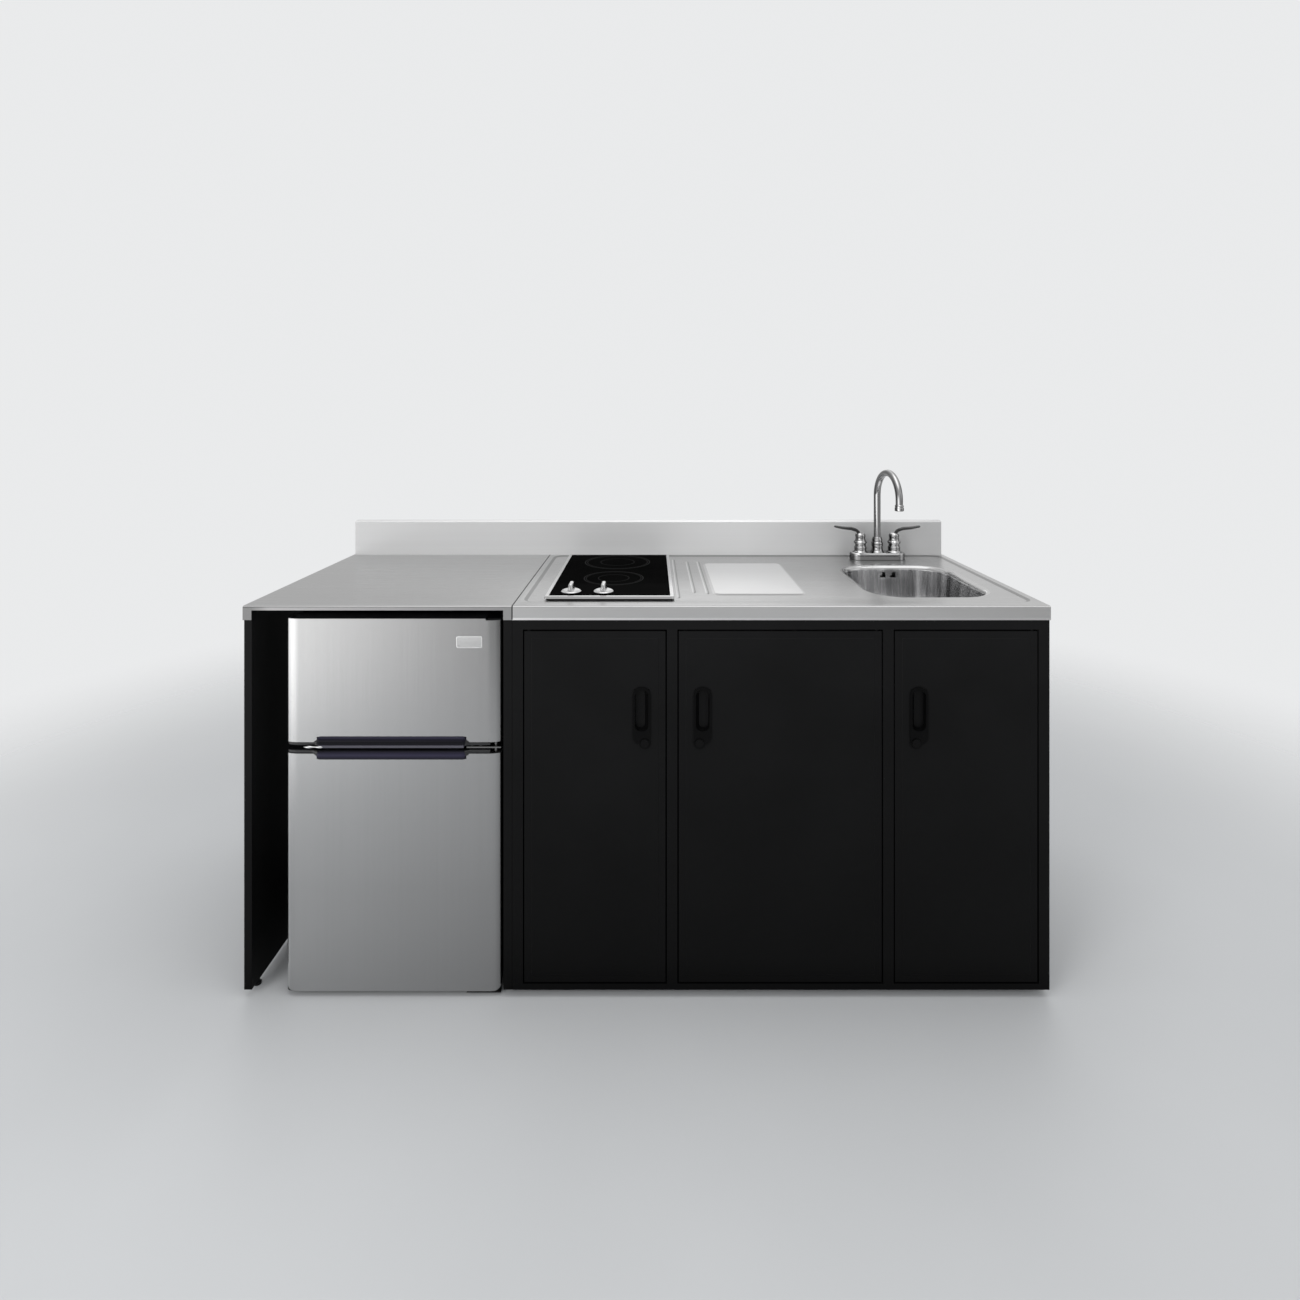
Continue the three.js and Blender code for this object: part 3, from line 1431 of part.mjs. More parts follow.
function makeGasket(z0, z1) {
  const y0 = fridge.doorBack;
  const y1 = fridge.caseFront - seat;
  const a = gasketInset;
  const b = gasketInset + gasketWidth;
  const outer = block(fridge.x0 + a, fridge.x1 - a, y0, y1, z0 + a, z1 - a);
  const inner = block(fridge.x0 + b, fridge.x1 - b, y0 - 1, y1 + 1, z0 + b, z1 - b);
  return outer.subtract(inner);
}

const leafX1 = fridge.x1 - 1;
const leafFront = fridge.front + hingeLeafSetback;
const plateBack = fridge.caseFront - seat;

function hingePinRod(z0, z1) {
  return rod(fridge.pivotX, fridge.pivotY, z0, z1, hingePin, pinSteps);
}

function makeTopHinge() {
  const z0 = caseTop + seat;
  const leafX0 = leafX1 - hingeLeafWidth;
  const leaf = block(leafX0, leafX1, leafFront, fridge.caseFront + 60, z0, z0 + hingeLeaf);
  return leaf.add(hingePinRod(caseTop - hingePinLength, z0 + 1));
}

function makeMiddleHinge() {
  const z0 = betweenDoors - hingeLeaf / 2;
  const leafX0 = leafX1 - middleLeafWidth;
  const leaf = block(leafX0, leafX1, leafFront, plateBack, z0, z0 + hingeLeaf);
  const plate = block(
    leafX0, leafX1, plateBack - hingeLeaf, plateBack,
    betweenDoors - hingePlateHalf, betweenDoors + hingePlateHalf,
  );
  const pin = hingePinRod(fridgeDoorTop - hingePinLength, freezerDoorBottom + hingePinLength);
  return joined(leaf, plate, pin);
}

function makeBottomHinge() {
  const z1 = fridgeDoorBottom - 2;
  const leafX0 = leafX1 - middleLeafWidth;
  const leaf = block(leafX0, leafX1, leafFront, plateBack, z1 - hingeLeaf, z1);
  const plate = block(
    leafX0, leafX1, plateBack - hingeLeaf, plateBack, z1 - hingeLeaf, caseBottom + 5,
  );
  return joined(leaf, plate, hingePinRod(z1 - 1, fridgeDoorBottom + hingePinLength));
}

// The freezer door is stepped down at its hinge corner so that the leaf turns clear in its top.
const hingeNotch = block(
  leafX1 - hingeLeafWidth - hingeNotchMargin, fridge.x1 + 1, fridge.front - 1, fridge.doorBack + 1,
  caseTop, freezerDoorTop + 1,
);

place("fridge_case", makeCase(), materials.blackPaint);
place(
  "freezer_door",
  makeFridgeDoor(freezerDoorBottom, freezerDoorTop, caseTop, freezerDoorBottom, 1).subtract(hingeNotch),
  materials.steel,
);
place(
  "fridge_door",
  makeFridgeDoor(fridgeDoorBottom, fridgeDoorTop, fridgeDoorTop, fridgeDoorTop, -1),
  materials.steel,
);
place("freezer_grip", makeGrip(freezerDoorBottom, 1), materials.gripPlastic);
place("fridge_grip", makeGrip(fridgeDoorTop, -1), materials.gripPlastic);
place("freezer_gasket", makeGasket(freezerDoorBottom, freezerDoorTop), materials.rubber);
place("fridge_gasket", makeGasket(fridgeDoorBottom, fridgeDoorTop), materials.rubber);
place("hinge_top", makeTopHinge(), materials.blackPaint);
place("hinge_middle", makeMiddleHinge(), materials.darkSteel);
place("hinge_bottom", makeBottomHinge(), materials.blackPaint);

const shelfFront = linerReach + 8;
place(
  "fridge_shelf",
  block(
    cavity.x0 + seat, cavity.x1 - seat, shelfFront, cavity.back - seat,
    glassShelfHeight, glassShelfHeight + glassShelfThickness,
  ),
  materials.clear,
);

function makeCrisper() {
  const x0 = cavity.x0 + 2;
  const x1 = cavity.x1 - 2;
  const y0 = shelfFront;
  const y1 = stepFront - 2;
  const z0 = cavity.bottom + seat;
  const z1 = z0 + crisperHeight;
  const y = (y0 + y1) / 2;
  const x = (x0 + x1) / 2;
  const halfX = (x1 - x0) / 2;
  const halfY = (y1 - y0) / 2;
  const ringAt = (inset, z) => {
    return rectRing(x, y, halfX - inset, halfY - inset, crisperCorner, z, 3);
  };
  const bin = skin([ringAt(crisperDraft, z0), ringAt(0, z1)], false);
  const floor = z0 + crisperWall;
  const hollow = skin([ringAt(crisperDraft + crisperWall, floor), ringAt(crisperWall, z1 + 1)], false);
  return bin.subtract(hollow);
}

place("crisper", makeCrisper(), materials.clear);

function makeCompressor() {
  const x = fridge.caseX1 - compressorInset;
  const y = fridge.caseBack - compressorBay / 2;
  const z0 = caseBottom + compressorFloor + seat;
  const top = z0 + compressorHeight;
  const radius = compressorRadius;
  const dome = turned([
    [0, z0 + 6],
    [radius - 8, z0 + 10],
    [radius, z0 + 26],
    [radius, top - 42],
    [radius - 10, top - 16],
    [radius - 30, top - 3],
    [0, top],
  ], x, y);
  const footX = radius + 12;
  const footY = radius - 13;
  const foot = block(x - footX, x + footX, y - footY, y + footY, z0, z0 + 12);
  return dome.add(foot);
}

place("compressor", makeCompressor(), materials.blackPaint);

export default unit;
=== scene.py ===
import json
import math

import bmesh
import bpy
from mathutils import Matrix, Vector


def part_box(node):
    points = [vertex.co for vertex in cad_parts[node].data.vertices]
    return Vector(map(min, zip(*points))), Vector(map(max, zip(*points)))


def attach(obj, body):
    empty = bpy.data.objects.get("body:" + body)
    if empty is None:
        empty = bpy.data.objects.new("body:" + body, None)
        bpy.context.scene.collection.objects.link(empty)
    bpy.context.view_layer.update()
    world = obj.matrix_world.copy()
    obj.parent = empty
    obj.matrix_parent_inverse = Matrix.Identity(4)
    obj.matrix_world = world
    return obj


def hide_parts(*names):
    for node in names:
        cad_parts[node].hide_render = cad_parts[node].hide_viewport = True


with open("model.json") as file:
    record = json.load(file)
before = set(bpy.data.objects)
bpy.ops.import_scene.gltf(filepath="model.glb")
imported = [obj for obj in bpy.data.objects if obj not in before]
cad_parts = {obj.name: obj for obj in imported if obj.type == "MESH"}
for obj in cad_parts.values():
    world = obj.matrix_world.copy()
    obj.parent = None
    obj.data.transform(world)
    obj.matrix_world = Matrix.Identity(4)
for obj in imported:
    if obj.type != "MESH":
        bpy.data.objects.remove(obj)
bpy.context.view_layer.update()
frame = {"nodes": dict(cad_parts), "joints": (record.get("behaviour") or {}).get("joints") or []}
NODES = frame["nodes"]
JOINTS = {joint["name"]: joint for joint in frame["joints"]}
MM = 0.001
SEAT = 0.3  # millimetres between pieces that bear on each other


# ---------------- node helpers
def new_material(name):
    mat = bpy.data.materials.new(name)
    mat.use_nodes = True
    tree = mat.node_tree
    return mat, tree, tree.nodes["Principled BSDF"]


def add(tree, kind, **values):
    node = tree.nodes.new(kind)
    for key, value in values.items():
        setattr(node, key, value)
    return node


def feed(tree, socket, value):
    """Links an output to a socket, or writes a plain value there."""
    if isinstance(value, bpy.types.NodeSocket):
        tree.links.new(value, socket)
    else:
        socket.default_value = value


def dress(tree, node, **sockets):
    """Feeds a node's inputs by name, with underscores for the spaces."""
    for name, value in sockets.items():
        feed(tree, node.inputs[name.replace("_", " ")], value)


def maths(tree, operation, first, second=0.0):
    node = add(tree, "ShaderNodeMath", operation=operation)
    feed(tree, node.inputs[0], first)
    feed(tree, node.inputs[1], second)
    return node.outputs[0]


def mapped(tree, source, start, end, low=0.0, high=1.0, **values):
    """A number carried over from the span start to end to the span low to high."""
    span = add(tree, "ShaderNodeMapRange", **values)
    dress(tree, span, Value=source, From_Min=start, From_Max=end, To_Min=low, To_Max=high)
    return span.outputs["Result"]


def ramped(tree, source, stops):
    """A colour ramp through (place, colour) stops."""
    ramp = add(tree, "ShaderNodeValToRGB")
    elements = ramp.color_ramp.elements
    while len(elements) < len(stops):
        elements.new(0.5)
    for element, (place, colour) in zip(elements, stops):
        element.position = place
        element.color = (*colour, 1)
    tree.links.new(source, ramp.inputs["Fac"])
    return ramp.outputs["Color"]


def blended(tree, kind, factor, first, second):
    """Two colours mixed, or multiplied, by a factor."""
    mix = add(tree, "ShaderNodeMix", data_type="RGBA", blend_type=kind)
    feed(tree, mix.inputs["Factor"], factor)
    feed(tree, mix.inputs[6], first)
    feed(tree, mix.inputs[7], second)
    return mix.outputs[2]


def mixed_shader(tree, factor, first, second):
    mix = add(tree, "ShaderNodeMixShader")
    for socket, value in zip(mix.inputs, (factor, first, second)):
        feed(tree, socket, value)
    return mix.outputs[0]


def stretched(tree, scale):
    """Coordinates in the row frame, in metres, drawn out by scale."""
    mapping = add(tree, "ShaderNodeMapping")
    dress(tree, mapping, Scale=scale, Vector=add(tree, "ShaderNodeTexCoord").outputs["Object"])
    return mapping.outputs["Vector"]


def noise(tree, scale, detail, rough):
    tex = add(tree, "ShaderNodeTexNoise")
    dress(tree, tex, Vector=stretched(tree, scale), Scale=1.0, Detail=detail, Roughness=rough)
    return tex.outputs["Fac"]


def spread(tree, source, low, high):
    """A noise as a number from low to high."""
    return mapped(tree, source, 0.3, 0.7, low, high)


def tinted(tree, source, dark, light, start=0.3, end=0.7):
    """A noise as a colour from dark to light; a number stands for a grey."""
    return ramped(tree, source, [
        (place, tone if isinstance(tone, tuple) else (tone,) * 3)
        for place, tone in ((start, dark), (end, light))])


def bumped(tree, bsdf, source, strength):
    bump = add(tree, "ShaderNodeBump")
    dress(tree, bump, Strength=strength, Distance=0.0002, Height=source)
    tree.links.new(bump.outputs["Normal"], bsdf.inputs["Normal"])


# ---------------- kinds of material
def brushed(
        name, grey, grain, rough, low=0.9, high=1.08, warm=0.0, bump=0.12, coarse=0.06, metal=1.0,
        swing=0.05):
    """Brushed metal whose grain runs along the axis with the small scale."""
    mat, tree, bsdf = new_material(name)
    fine = noise(tree, grain, 4.0, 0.7)
    broad = noise(tree, tuple(g * coarse for g in grain), 2.0, 0.5)
    both = maths(tree, "MULTIPLY", maths(tree, "ADD", fine, broad), 0.5)
    dark, light = ((grey * tone * (1 + warm), grey * tone, grey * tone * (1 - warm)) for tone in (low, high))
    dress(
        tree, bsdf, Base_Color=tinted(tree, both, dark, light), Metallic=metal,
        Roughness=spread(tree, fine, rough - swing, rough + swing))
    bumped(tree, bsdf, fine, bump)
    return mat


def top_metal(name, grey, rough=0.34, low=0.97, high=1.02, metal=1.0):
    """The worktop's steel, brushed from end to end."""
    return brushed(name, grey, (6, 900, 900), rough, low, high, metal=metal)


def coated(name, dark, light, rough, grain, bump, spec=0.5):
    """Paint, plastic or rubber with a fine skin and slow variation in tone and gloss."""
    mat, tree, bsdf = new_material(name)
    slow = noise(tree, (4, 4, 4), 3.0, 0.55)
    dress(
        tree, bsdf, Base_Color=tinted(tree, slow, dark, light), Specular_IOR_Level=spec,
        Roughness=spread(tree, slow, rough - 0.04, rough + 0.05))
    bumped(tree, bsdf, noise(tree, (grain,) * 3, 2.0, 0.5), bump)
    return mat


def polished(name, grey, rough):
    mat, tree, bsdf = new_material(name)
    slow = noise(tree, (30, 30, 30), 2.0, 0.5)
    dress(
        tree, bsdf, Base_Color=tinted(tree, slow, grey * 0.97, (grey, grey, grey * 1.01)), Metallic=1.0,
        Roughness=spread(tree, slow, rough, rough + 0.03))
    return mat


ZONE_LINES = ((1.0, 0.0022), (0.93, 0.0012), (0.52, 0.0012))  # share of the radius, width
ZONE_PRINT = (0.018, 0.018, 0.018, 1)
PRINT_EDGE = 0.0006


def ring_mask(tree, plan, centre, radius, width):
    """1 on a ring drawn in plan, 0 away from it."""
    reach = add(tree, "ShaderNodeVectorMath", operation="DISTANCE")
    feed(tree, reach.inputs[0], plan)
    feed(tree, reach.inputs[1], (*centre, 0))
    off = maths(tree, "ABSOLUTE", maths(tree, "SUBTRACT", reach.outputs["Value"], radius))
    return mapped(tree, off, width / 2, width / 2 + PRINT_EDGE, 1, 0)


def black_glass(name, zones):
    """Black ceramic glass with the rings of the cooking zones printed under it."""
    mat, tree, bsdf = new_material(name)
    slow = noise(tree, (6, 6, 6), 2.0, 0.5)
    colour = tinted(tree, slow, 0.0012, 0.0022)
    plan = stretched(tree, (1, 1, 0))
    for centre, radius in zones:
        for share, width in ZONE_LINES:
            line = ring_mask(tree, plan, centre, radius * share, width)
            colour = blended(tree, "MIX", line, colour, ZONE_PRINT)
    dress(
        tree, bsdf, Base_Color=colour, Roughness=spread(tree, slow, 0.05, 0.09), Specular_IOR_Level=0.0,
        Coat_Weight=0.01, Coat_Roughness=0.04)
    return mat


def painted_reflection_steel(name):
    """Drawn steel with a fine grain, whose upright walls carry broad dark and light bands painted as
    reflections.
    """
    mat, tree, bsdf = new_material(name)
    broad = noise(tree, (24, 24, 0.6), 1.5, 0.5)
    fine = noise(tree, (260, 260, 3), 3.0, 0.6)
    bands = tinted(tree, broad, (0.54, 0.54, 0.545), (0.99, 0.99, 0.995), 0.40, 0.58)
    dress(
        tree, bsdf, Base_Color=blended(tree, "MULTIPLY", 1.0, bands, tinted(tree, fine, 0.86, 1.0)),
        Roughness=spread(tree, fine, 0.12, 0.22), Metallic=1.0)
    bumped(tree, bsdf, fine, 0.06)
    return mat


def clear_plastic(name, tint, rough):
    mat, tree, bsdf = new_material(name)
    slow = noise(tree, (8, 8, 8), 2.0, 0.5)
    dress(
        tree, bsdf, Base_Color=tinted(tree, slow, tuple(t * 0.97 for t in tint), tint),
        Roughness=spread(tree, slow, rough, rough + 0.04), Transmission_Weight=0.85, IOR=1.45)
    return mat


# ---------------- changes to a base colour
def recoloured(mat, change):
    """Puts change(tree, base colour) in the base colour's place."""
    tree = mat.node_tree
    socket = tree.nodes["Principled BSDF"].inputs["Base Color"]
    tree.links.new(change(tree, socket.links[0].from_socket), socket)


def along(tree, axis, output="Object"):
    """The place along an axis, or with "Normal" how far the surface faces along it."""
    split = add(tree, "ShaderNodeSeparateXYZ")
    tree.links.new(add(tree, "ShaderNodeTexCoord").outputs[output], split.inputs[0])
    return split.outputs[axis]


def changed_across(mat, start, end, colour):
    """Turns the base colour to another from the height start to the height end."""
    recoloured(mat, lambda tree, base: blended(
        tree, "MIX", mapped(tree, along(tree, "Z"), start, end), base, (*colour, 1)))


def graded(mat, axis, start, end, low, high):
    """Scales the base colour from low to high between two places along an axis."""
    def scaled(tree, base):
        product = add(tree, "ShaderNodeVectorMath", operation="SCALE")
        feed(tree, product.inputs[0], base)
        feed(tree, product.inputs["Scale"], mapped(tree, along(tree, axis), start, end, low, high))
        return product.outputs[0]

    recoloured(mat, scaled)


def toned(mat, axis, output, start, end, stops):
    """Scales the base colour by a line through (share of the span, scale) points."""
    recoloured(mat, lambda tree, base: blended(
        tree, "MULTIPLY", 1.0, base, ramped(
            tree, mapped(tree, along(tree, axis, output), start, end),
            [(share, (scale,) * 3) for share, scale in stops])))


def darkened_corners(mat, middle, half, foot, radius, tone):
    """Turns a panel's two lower corners outside a radius to a dark tone, as on an end cap."""
    def cornered(tree, base):
        off = maths(tree, "ABSOLUTE", maths(tree, "SUBTRACT", along(tree, "X"), middle))
        across = maths(tree, "MAXIMUM", maths(tree, "SUBTRACT", off, half - radius))
        down = maths(tree, "MAXIMUM", maths(tree, "SUBTRACT", foot + radius, along(tree, "Z")))
        reach = maths(tree, "SQRT", maths(
            tree, "ADD", maths(tree, "MULTIPLY", across, across), maths(tree, "MULTIPLY", down, down)))
        return blended(
            tree, "MIX", mapped(tree, reach, radius - 0.0006, radius + 0.0002), base, (*tone, 1))

    recoloured(mat, cornered)


# ---------------- materials
top_low, top_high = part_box("right_worktop")
bowl_base, bowl_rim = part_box("sink_bowl")
left_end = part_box("left_worktop")[0].x

top_steel = top_metal("top_steel", 0.60, 0.30, 0.96, 1.03)
# Lighter and darker copies of the top's steel, for painted shade and highlights on its pressed relief.
crease_shade = top_metal("crease_shade", 0.36)
crease_highlight = top_metal("crease_highlight", 0.86)
pad_slope = top_metal("pad_slope", 0.74)
pad_steel = top_metal("pad_steel", 0.92, low=0.98)
skirt_steel = top_metal("skirt_steel", 0.76)
# Painted light and shade on the front skirt: darker at the left end and lighter towards the right, and a
# painted highlight along the hem at its foot.
graded(skirt_steel, "X", top_low.x, top_high.x - 0.4, 0.82, 1.12)
changed_across(skirt_steel, top_low.z + 0.006, top_low.z + 0.004, (0.97, 0.97, 0.97))
# The left worktop's skirt is a darker copy of the top's steel, painted darker still at its left end: painted
# shade that tones down a bright reflection.
skirt_left = top_metal("skirt_left", 0.40)
graded(skirt_left, "X", left_end + 0.02, left_end + 0.06, 0.55, 1.0)
splash_steel = top_metal("splash_steel", 0.80, 0.5, metal=0.4)
# Painted shade on the backsplash: darker towards its right end and towards its left end.
graded(splash_steel, "X", 0.3, top_high.x, 1.0, 0.74)
graded(splash_steel, "X", left_end, 0.3, 0.84, 1.0)
seam_seal = coated("seam_seal", 0.028, 0.04, 0.5, 900, 0.2, 0.2)

bowl_steel = painted_reflection_steel("bowl_steel")
# Painted shade on the rolled lip, turned darker to tone down its reflection; near the floor the painted
# reflection bands give way to an even grey.
changed_across(bowl_steel, bowl_rim.z - 0.012, bowl_rim.z - 0.006, (0.64, 0.64, 0.64))
changed_across(bowl_steel, bowl_base.z + 0.060, bowl_base.z + 0.020, (0.74, 0.74, 0.745))
trim_steel = brushed("trim_steel", 0.78, (20, 20, 900), 0.2)
drain_steel = brushed("drain_steel", 0.5, (300, 300, 300), 0.26)
dark_steel = brushed("dark_steel", 0.2, (300, 20, 300), 0.35)
knob_metal = brushed("knob_metal", 0.74, (300, 300, 300), 0.24)
brass = brushed("valve_brass", 0.5, (400, 400, 20), 0.3, warm=0.45, high=1.1)
plate_silver = brushed("plate_silver", 0.9, (400, 30, 900), 0.22)
plate_field = brushed("plate_field", 0.66, (60, 30, 900), 0.3)

# Dark and light bands by the way the chrome faces, as a room puts on it.
chrome = polished("chrome", 0.95, 0.03)
toned(chrome, "X", "Normal", -1, 1, (
    (0.0, 0.10), (0.14, 0.16), (0.28, 0.95), (0.42, 1.0), (0.52, 0.34), (0.66, 0.62), (0.80, 0.24),
    (1.0, 0.08)))
spout_chrome = polished("spout_chrome", 0.80, 0.12)
toned(spout_chrome, "X", "Normal", -1, 1, (
    (0.0, 0.22), (0.12, 0.30), (0.26, 0.66), (0.40, 1.0), (0.54, 0.52), (0.70, 0.50), (0.86, 0.26),
    (1.0, 0.18)))
# The lever blades' chrome is painted near black, standing in for the dark room it reflects.
blade_chrome = polished("blade_chrome", 0.10, 0.08)
bright_chrome = polished("bright_chrome", 0.92, 0.05)

cold_low, cold_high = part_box("fridge_door")
door_steel = brushed(
    "door_steel", 0.54, (700, 700, 4), 0.24, 0.97, 1.025, bump=0.02, coarse=0.2, swing=0.02)
# Painted light and shade on the door steel: lighter at the left and darker towards the right, a painted
# highlight along the left rolled edge, painted shade along the right edge, and darker lower down.
graded(door_steel, "X", cold_low.x + 0.03, cold_high.x, 1.0, 0.74)
graded(door_steel, "X", cold_low.x, cold_low.x + 0.010, 1.6, 1.0)
graded(door_steel, "X", cold_high.x - 0.014, cold_high.x, 1.0, 0.6)
graded(door_steel, "Z", 0.45 * cold_high.z, cold_high.z + 0.03, 0.81, 1.0)
darkened_corners(
    door_steel, (cold_low.x + cold_high.x) / 2, (cold_high.x - cold_low.x) / 2, cold_low.z, 0.016,
    (0.004, 0.004, 0.004))

black_board = coated("black_board", (0.0050, 0.0050, 0.0051), (0.0066, 0.0066, 0.0068), 0.42, 500, 0.06, 0.07)
# Painted light and shade on the black board: lighter towards the top, where the light falls, and painted
# shade near the floor.
graded(black_board, "Z", 0.03, 0.83, 0.5, 1.6)
graded(black_board, "Z", 0.0, 0.09, 0.35, 1.0)
black_inside = coated("black_inside", 0.0040, 0.0056, 0.55, 500, 0.08, 0.16)
black_plastic = coated(
    "black_plastic", (0.0030, 0.0030, 0.0032), (0.0042, 0.0042, 0.0044), 0.34, 1200, 0.12, 0.24)
# Darker black for the flush pulls, painted as shade on their rims and cup walls.
bezel_black = coated(
    "bezel_black", (0.0030, 0.0030, 0.0031), (0.0040, 0.0040, 0.0041), 0.34, 1200, 0.06, 0.06)
button_black = coated(
    "button_black", (0.0032, 0.0032, 0.0033), (0.0044, 0.0044, 0.0045), 0.36, 1200, 0.06, 0.09)
cup_black = coated("cup_black", (0.0050, 0.0050, 0.0051), (0.0066, 0.0066, 0.0068), 0.4, 900, 0.1, 0.1)
end_cap = coated("end_cap", (0.012, 0.012, 0.013), (0.018, 0.018, 0.02), 0.4, 900, 0.15, 0.3)
black_paint = coated("black_paint", (0.0036, 0.0036, 0.0038), (0.0052, 0.0052, 0.0056), 0.38, 900, 0.1, 0.2)
case_skin = coated("case_skin", (0.0056, 0.0056, 0.0058), (0.0080, 0.0080, 0.0084), 0.5, 700, 0.35, 0.2)
gap_black = coated("gap_black", (0.006, 0.006, 0.007), (0.009, 0.009, 0.010), 0.2, 1500, 0.03, 0.6)
# A lighter plastic for the upper bar's lip, painted as a highlight line.
grip_lip_highlight = coated("grip_lip_highlight", (0.055, 0.053, 0.072), (0.070, 0.068, 0.088), 0.16, 1500, 0.03, 0.6)
grip_plastic = coated("grip_plastic", (0.026, 0.024, 0.046), (0.034, 0.031, 0.060), 0.2, 1500, 0.03, 0.16)
# Painted highlights and shade across the two bars' height, as their rounded faces and lips would catch and
# lose the light.
toned(grip_plastic, "Z", "Object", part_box("fridge_grip")[0].z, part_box("freezer_grip")[1].z, (
    (0.0, 0.1875), (0.10, 0.4375), (0.22, 1.0), (0.32, 0.5625), (0.40, 0.075), (0.62, 0.21875), (0.80, 0.075),
    (0.92, 0.25), (1.0, 0.75)))
gasket_rubber = coated("gasket_rubber", (0.014, 0.014, 0.015), (0.02, 0.02, 0.022), 0.65, 800, 0.2, 0.2)
liner_plastic = coated("liner_plastic", (0.76, 0.77, 0.78), (0.80, 0.81, 0.82), 0.32, 600, 0.08)


def zone(element):
    """The middle and the radius of a hob element, in metres."""
    low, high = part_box(element)
    return ((low.x + high.x) / 2, (low.y + high.y) / 2), (high.x - low.x) / 2


hob_glass = black_glass("hob_glass", [zone("element_front"), zone("element_rear")])
clear_shelf = clear_plastic("clear_shelf", (0.86, 0.93, 0.95), 0.08)

WEARERS = (
    (top_steel, "right_worktop left_worktop"),
    (splash_steel, "backsplash"),
    (bowl_steel, "sink_bowl"),
    (drain_steel, "drain_strainer strainer_basket"),
    (trim_steel, "hob_trim"),
    (hob_glass, "hob_glass"),
    (dark_steel, "element_front element_rear hinge_middle"),
    (brass, "faucet_valve_left faucet_valve_right"),
    (chrome, "faucet_body faucet_lever_left faucet_lever_right spout_nut spout aerator"),
    (knob_metal, "hob_knob_left hob_knob_right"),
    (case_skin, "fridge_case"),
    (door_steel, "freezer_door fridge_door"),
    (grip_plastic, "freezer_grip fridge_grip"),
    (gasket_rubber, "freezer_gasket fridge_gasket"),
    (clear_shelf, "fridge_shelf crisper"),
    (black_paint, "hob_pan compressor hinge_top hinge_bottom"),
    (black_plastic, "hob_switches"),
    (black_inside, "partition shelf cabinet_back cabinet_floor"),
)
CAD_MATERIALS = {name: material for material, names in WEARERS for name in names.split()}
for name in NODES:
    if "foot" in name or "pull" in name:
        CAD_MATERIALS[name] = black_plastic
    if "button" in name:
        CAD_MATERIALS[name] = button_black
    CAD_MATERIALS.setdefault(name, black_board)


# ---------------- CAD nodes dressed
SHARP_ANGLE = math.radians(32)
BEVEL_ANGLE = math.radians(50)
WELD_REACH = 0.00002


def smoothing_group():
    """Shades a mesh smooth except over edges sharper than the limit."""
    group = bpy.data.node_groups.new("smooth_by_angle", "GeometryNodeTree")
    group.interface.new_socket("Geometry", in_out="INPUT", socket_type="NodeSocketGeometry")
    group.interface.new_socket("Geometry", in_out="OUTPUT", socket_type="NodeSocketGeometry")
    source = add(group, "NodeGroupInput")
    target = add(group, "NodeGroupOutput")
    faces = add(group, "GeometryNodeSetShadeSmooth", domain="FACE")
    edges = add(group, "GeometryNodeSetShadeSmooth", domain="EDGE")
    edges.inputs["Shade Smooth"].default_value = False
    angle = add(group, "GeometryNodeInputMeshEdgeAngle")
    over = add(group, "FunctionNodeCompare", data_type="FLOAT", operation="GREATER_THAN")
    over.inputs["B"].default_value = SHARP_ANGLE
    for output, socket in (
            (source.outputs[0], faces.inputs["Geometry"]), (faces.outputs[0], edges.inputs["Geometry"]),
            (angle.outputs["Unsigned Angle"], over.inputs["A"]), (over.outputs[0], edges.inputs["Selection"]),
            (edges.outputs[0], target.inputs[0])):
        group.links.new(output, socket)
    return group


SMOOTH = smoothing_group()


def soften(obj, bevel=0.0):
    """Welds a mesh, breaks its edges where a bevel is given and shades it."""
    weld = obj.modifiers.new("weld", "WELD")
    weld.merge_threshold = WELD_REACH
    if bevel:
        edge = obj.modifiers.new("edge", "BEVEL")
        edge.width = bevel
        edge.segments = 2
        edge.limit_method = "ANGLE"
        edge.angle_limit = BEVEL_ANGLE
        edge.miter_outer = "MITER_ARC"
    shade = obj.modifiers.new("shade", "NODES")
    shade.node_group = SMOOTH
    flats = obj.modifiers.new("flats", "WEIGHTED_NORMAL")
    flats.keep_sharp = True


BEVELLED = (  # in millimetres
    (0.5, "hob_glass"),
    (0.6, "backsplash cabinet_back cabinet_floor partition"),
    (0.8, "cabinet_side_left cabinet_side_right bay_side_left bay_side_right bay_rear_rail shelf"),
    (0.8, "fridge_shelf"),
)
BEVELS = {name: width * MM for width, names in BEVELLED for name in names.split()}
for name, obj in NODES.items():
    mesh = obj.data
    for attribute in ("custom_normal", "sharp_edge", "sharp_face"):
        if attribute in mesh.attributes:
            mesh.attributes.remove(mesh.attributes[attribute])
    mesh.materials.clear()
    mesh.materials.append(CAD_MATERIALS[name])
    for polygon in mesh.polygons:
        polygon.use_smooth = True
    soften(obj, BEVELS.get(name, 0.0))


def paint_where(obj, material, inside):
    """Gives the faces whose middles and normals pass the test another material."""
    mesh = obj.data
    mesh.materials.append(material)
    for polygon in mesh.polygons:
        if inside(polygon.center, polygon.normal):
            polygon.material_index = len(mesh.materials) - 1


# The drainer pad stands proud of the sunk field. Slopes are told apart by their normals' upward part.
LEVEL_SLACK = 0.0005
PAD_LEVEL = 0.8869
PAD_LEFT, PAD_RIGHT = 0.155, 0.392
FIELD_LEVEL = 0.8846
BORDER_SLOPE = (0.94, 0.97)
PAD_SLOPE = (0.915, 0.94)
BEAD_SLOPE = (0.80, 0.90)


def on_pad(centre, normal):
    return normal.z > 0.9 and abs(centre.z - PAD_LEVEL) < LEVEL_SLACK and PAD_LEFT < centre.x < PAD_RIGHT


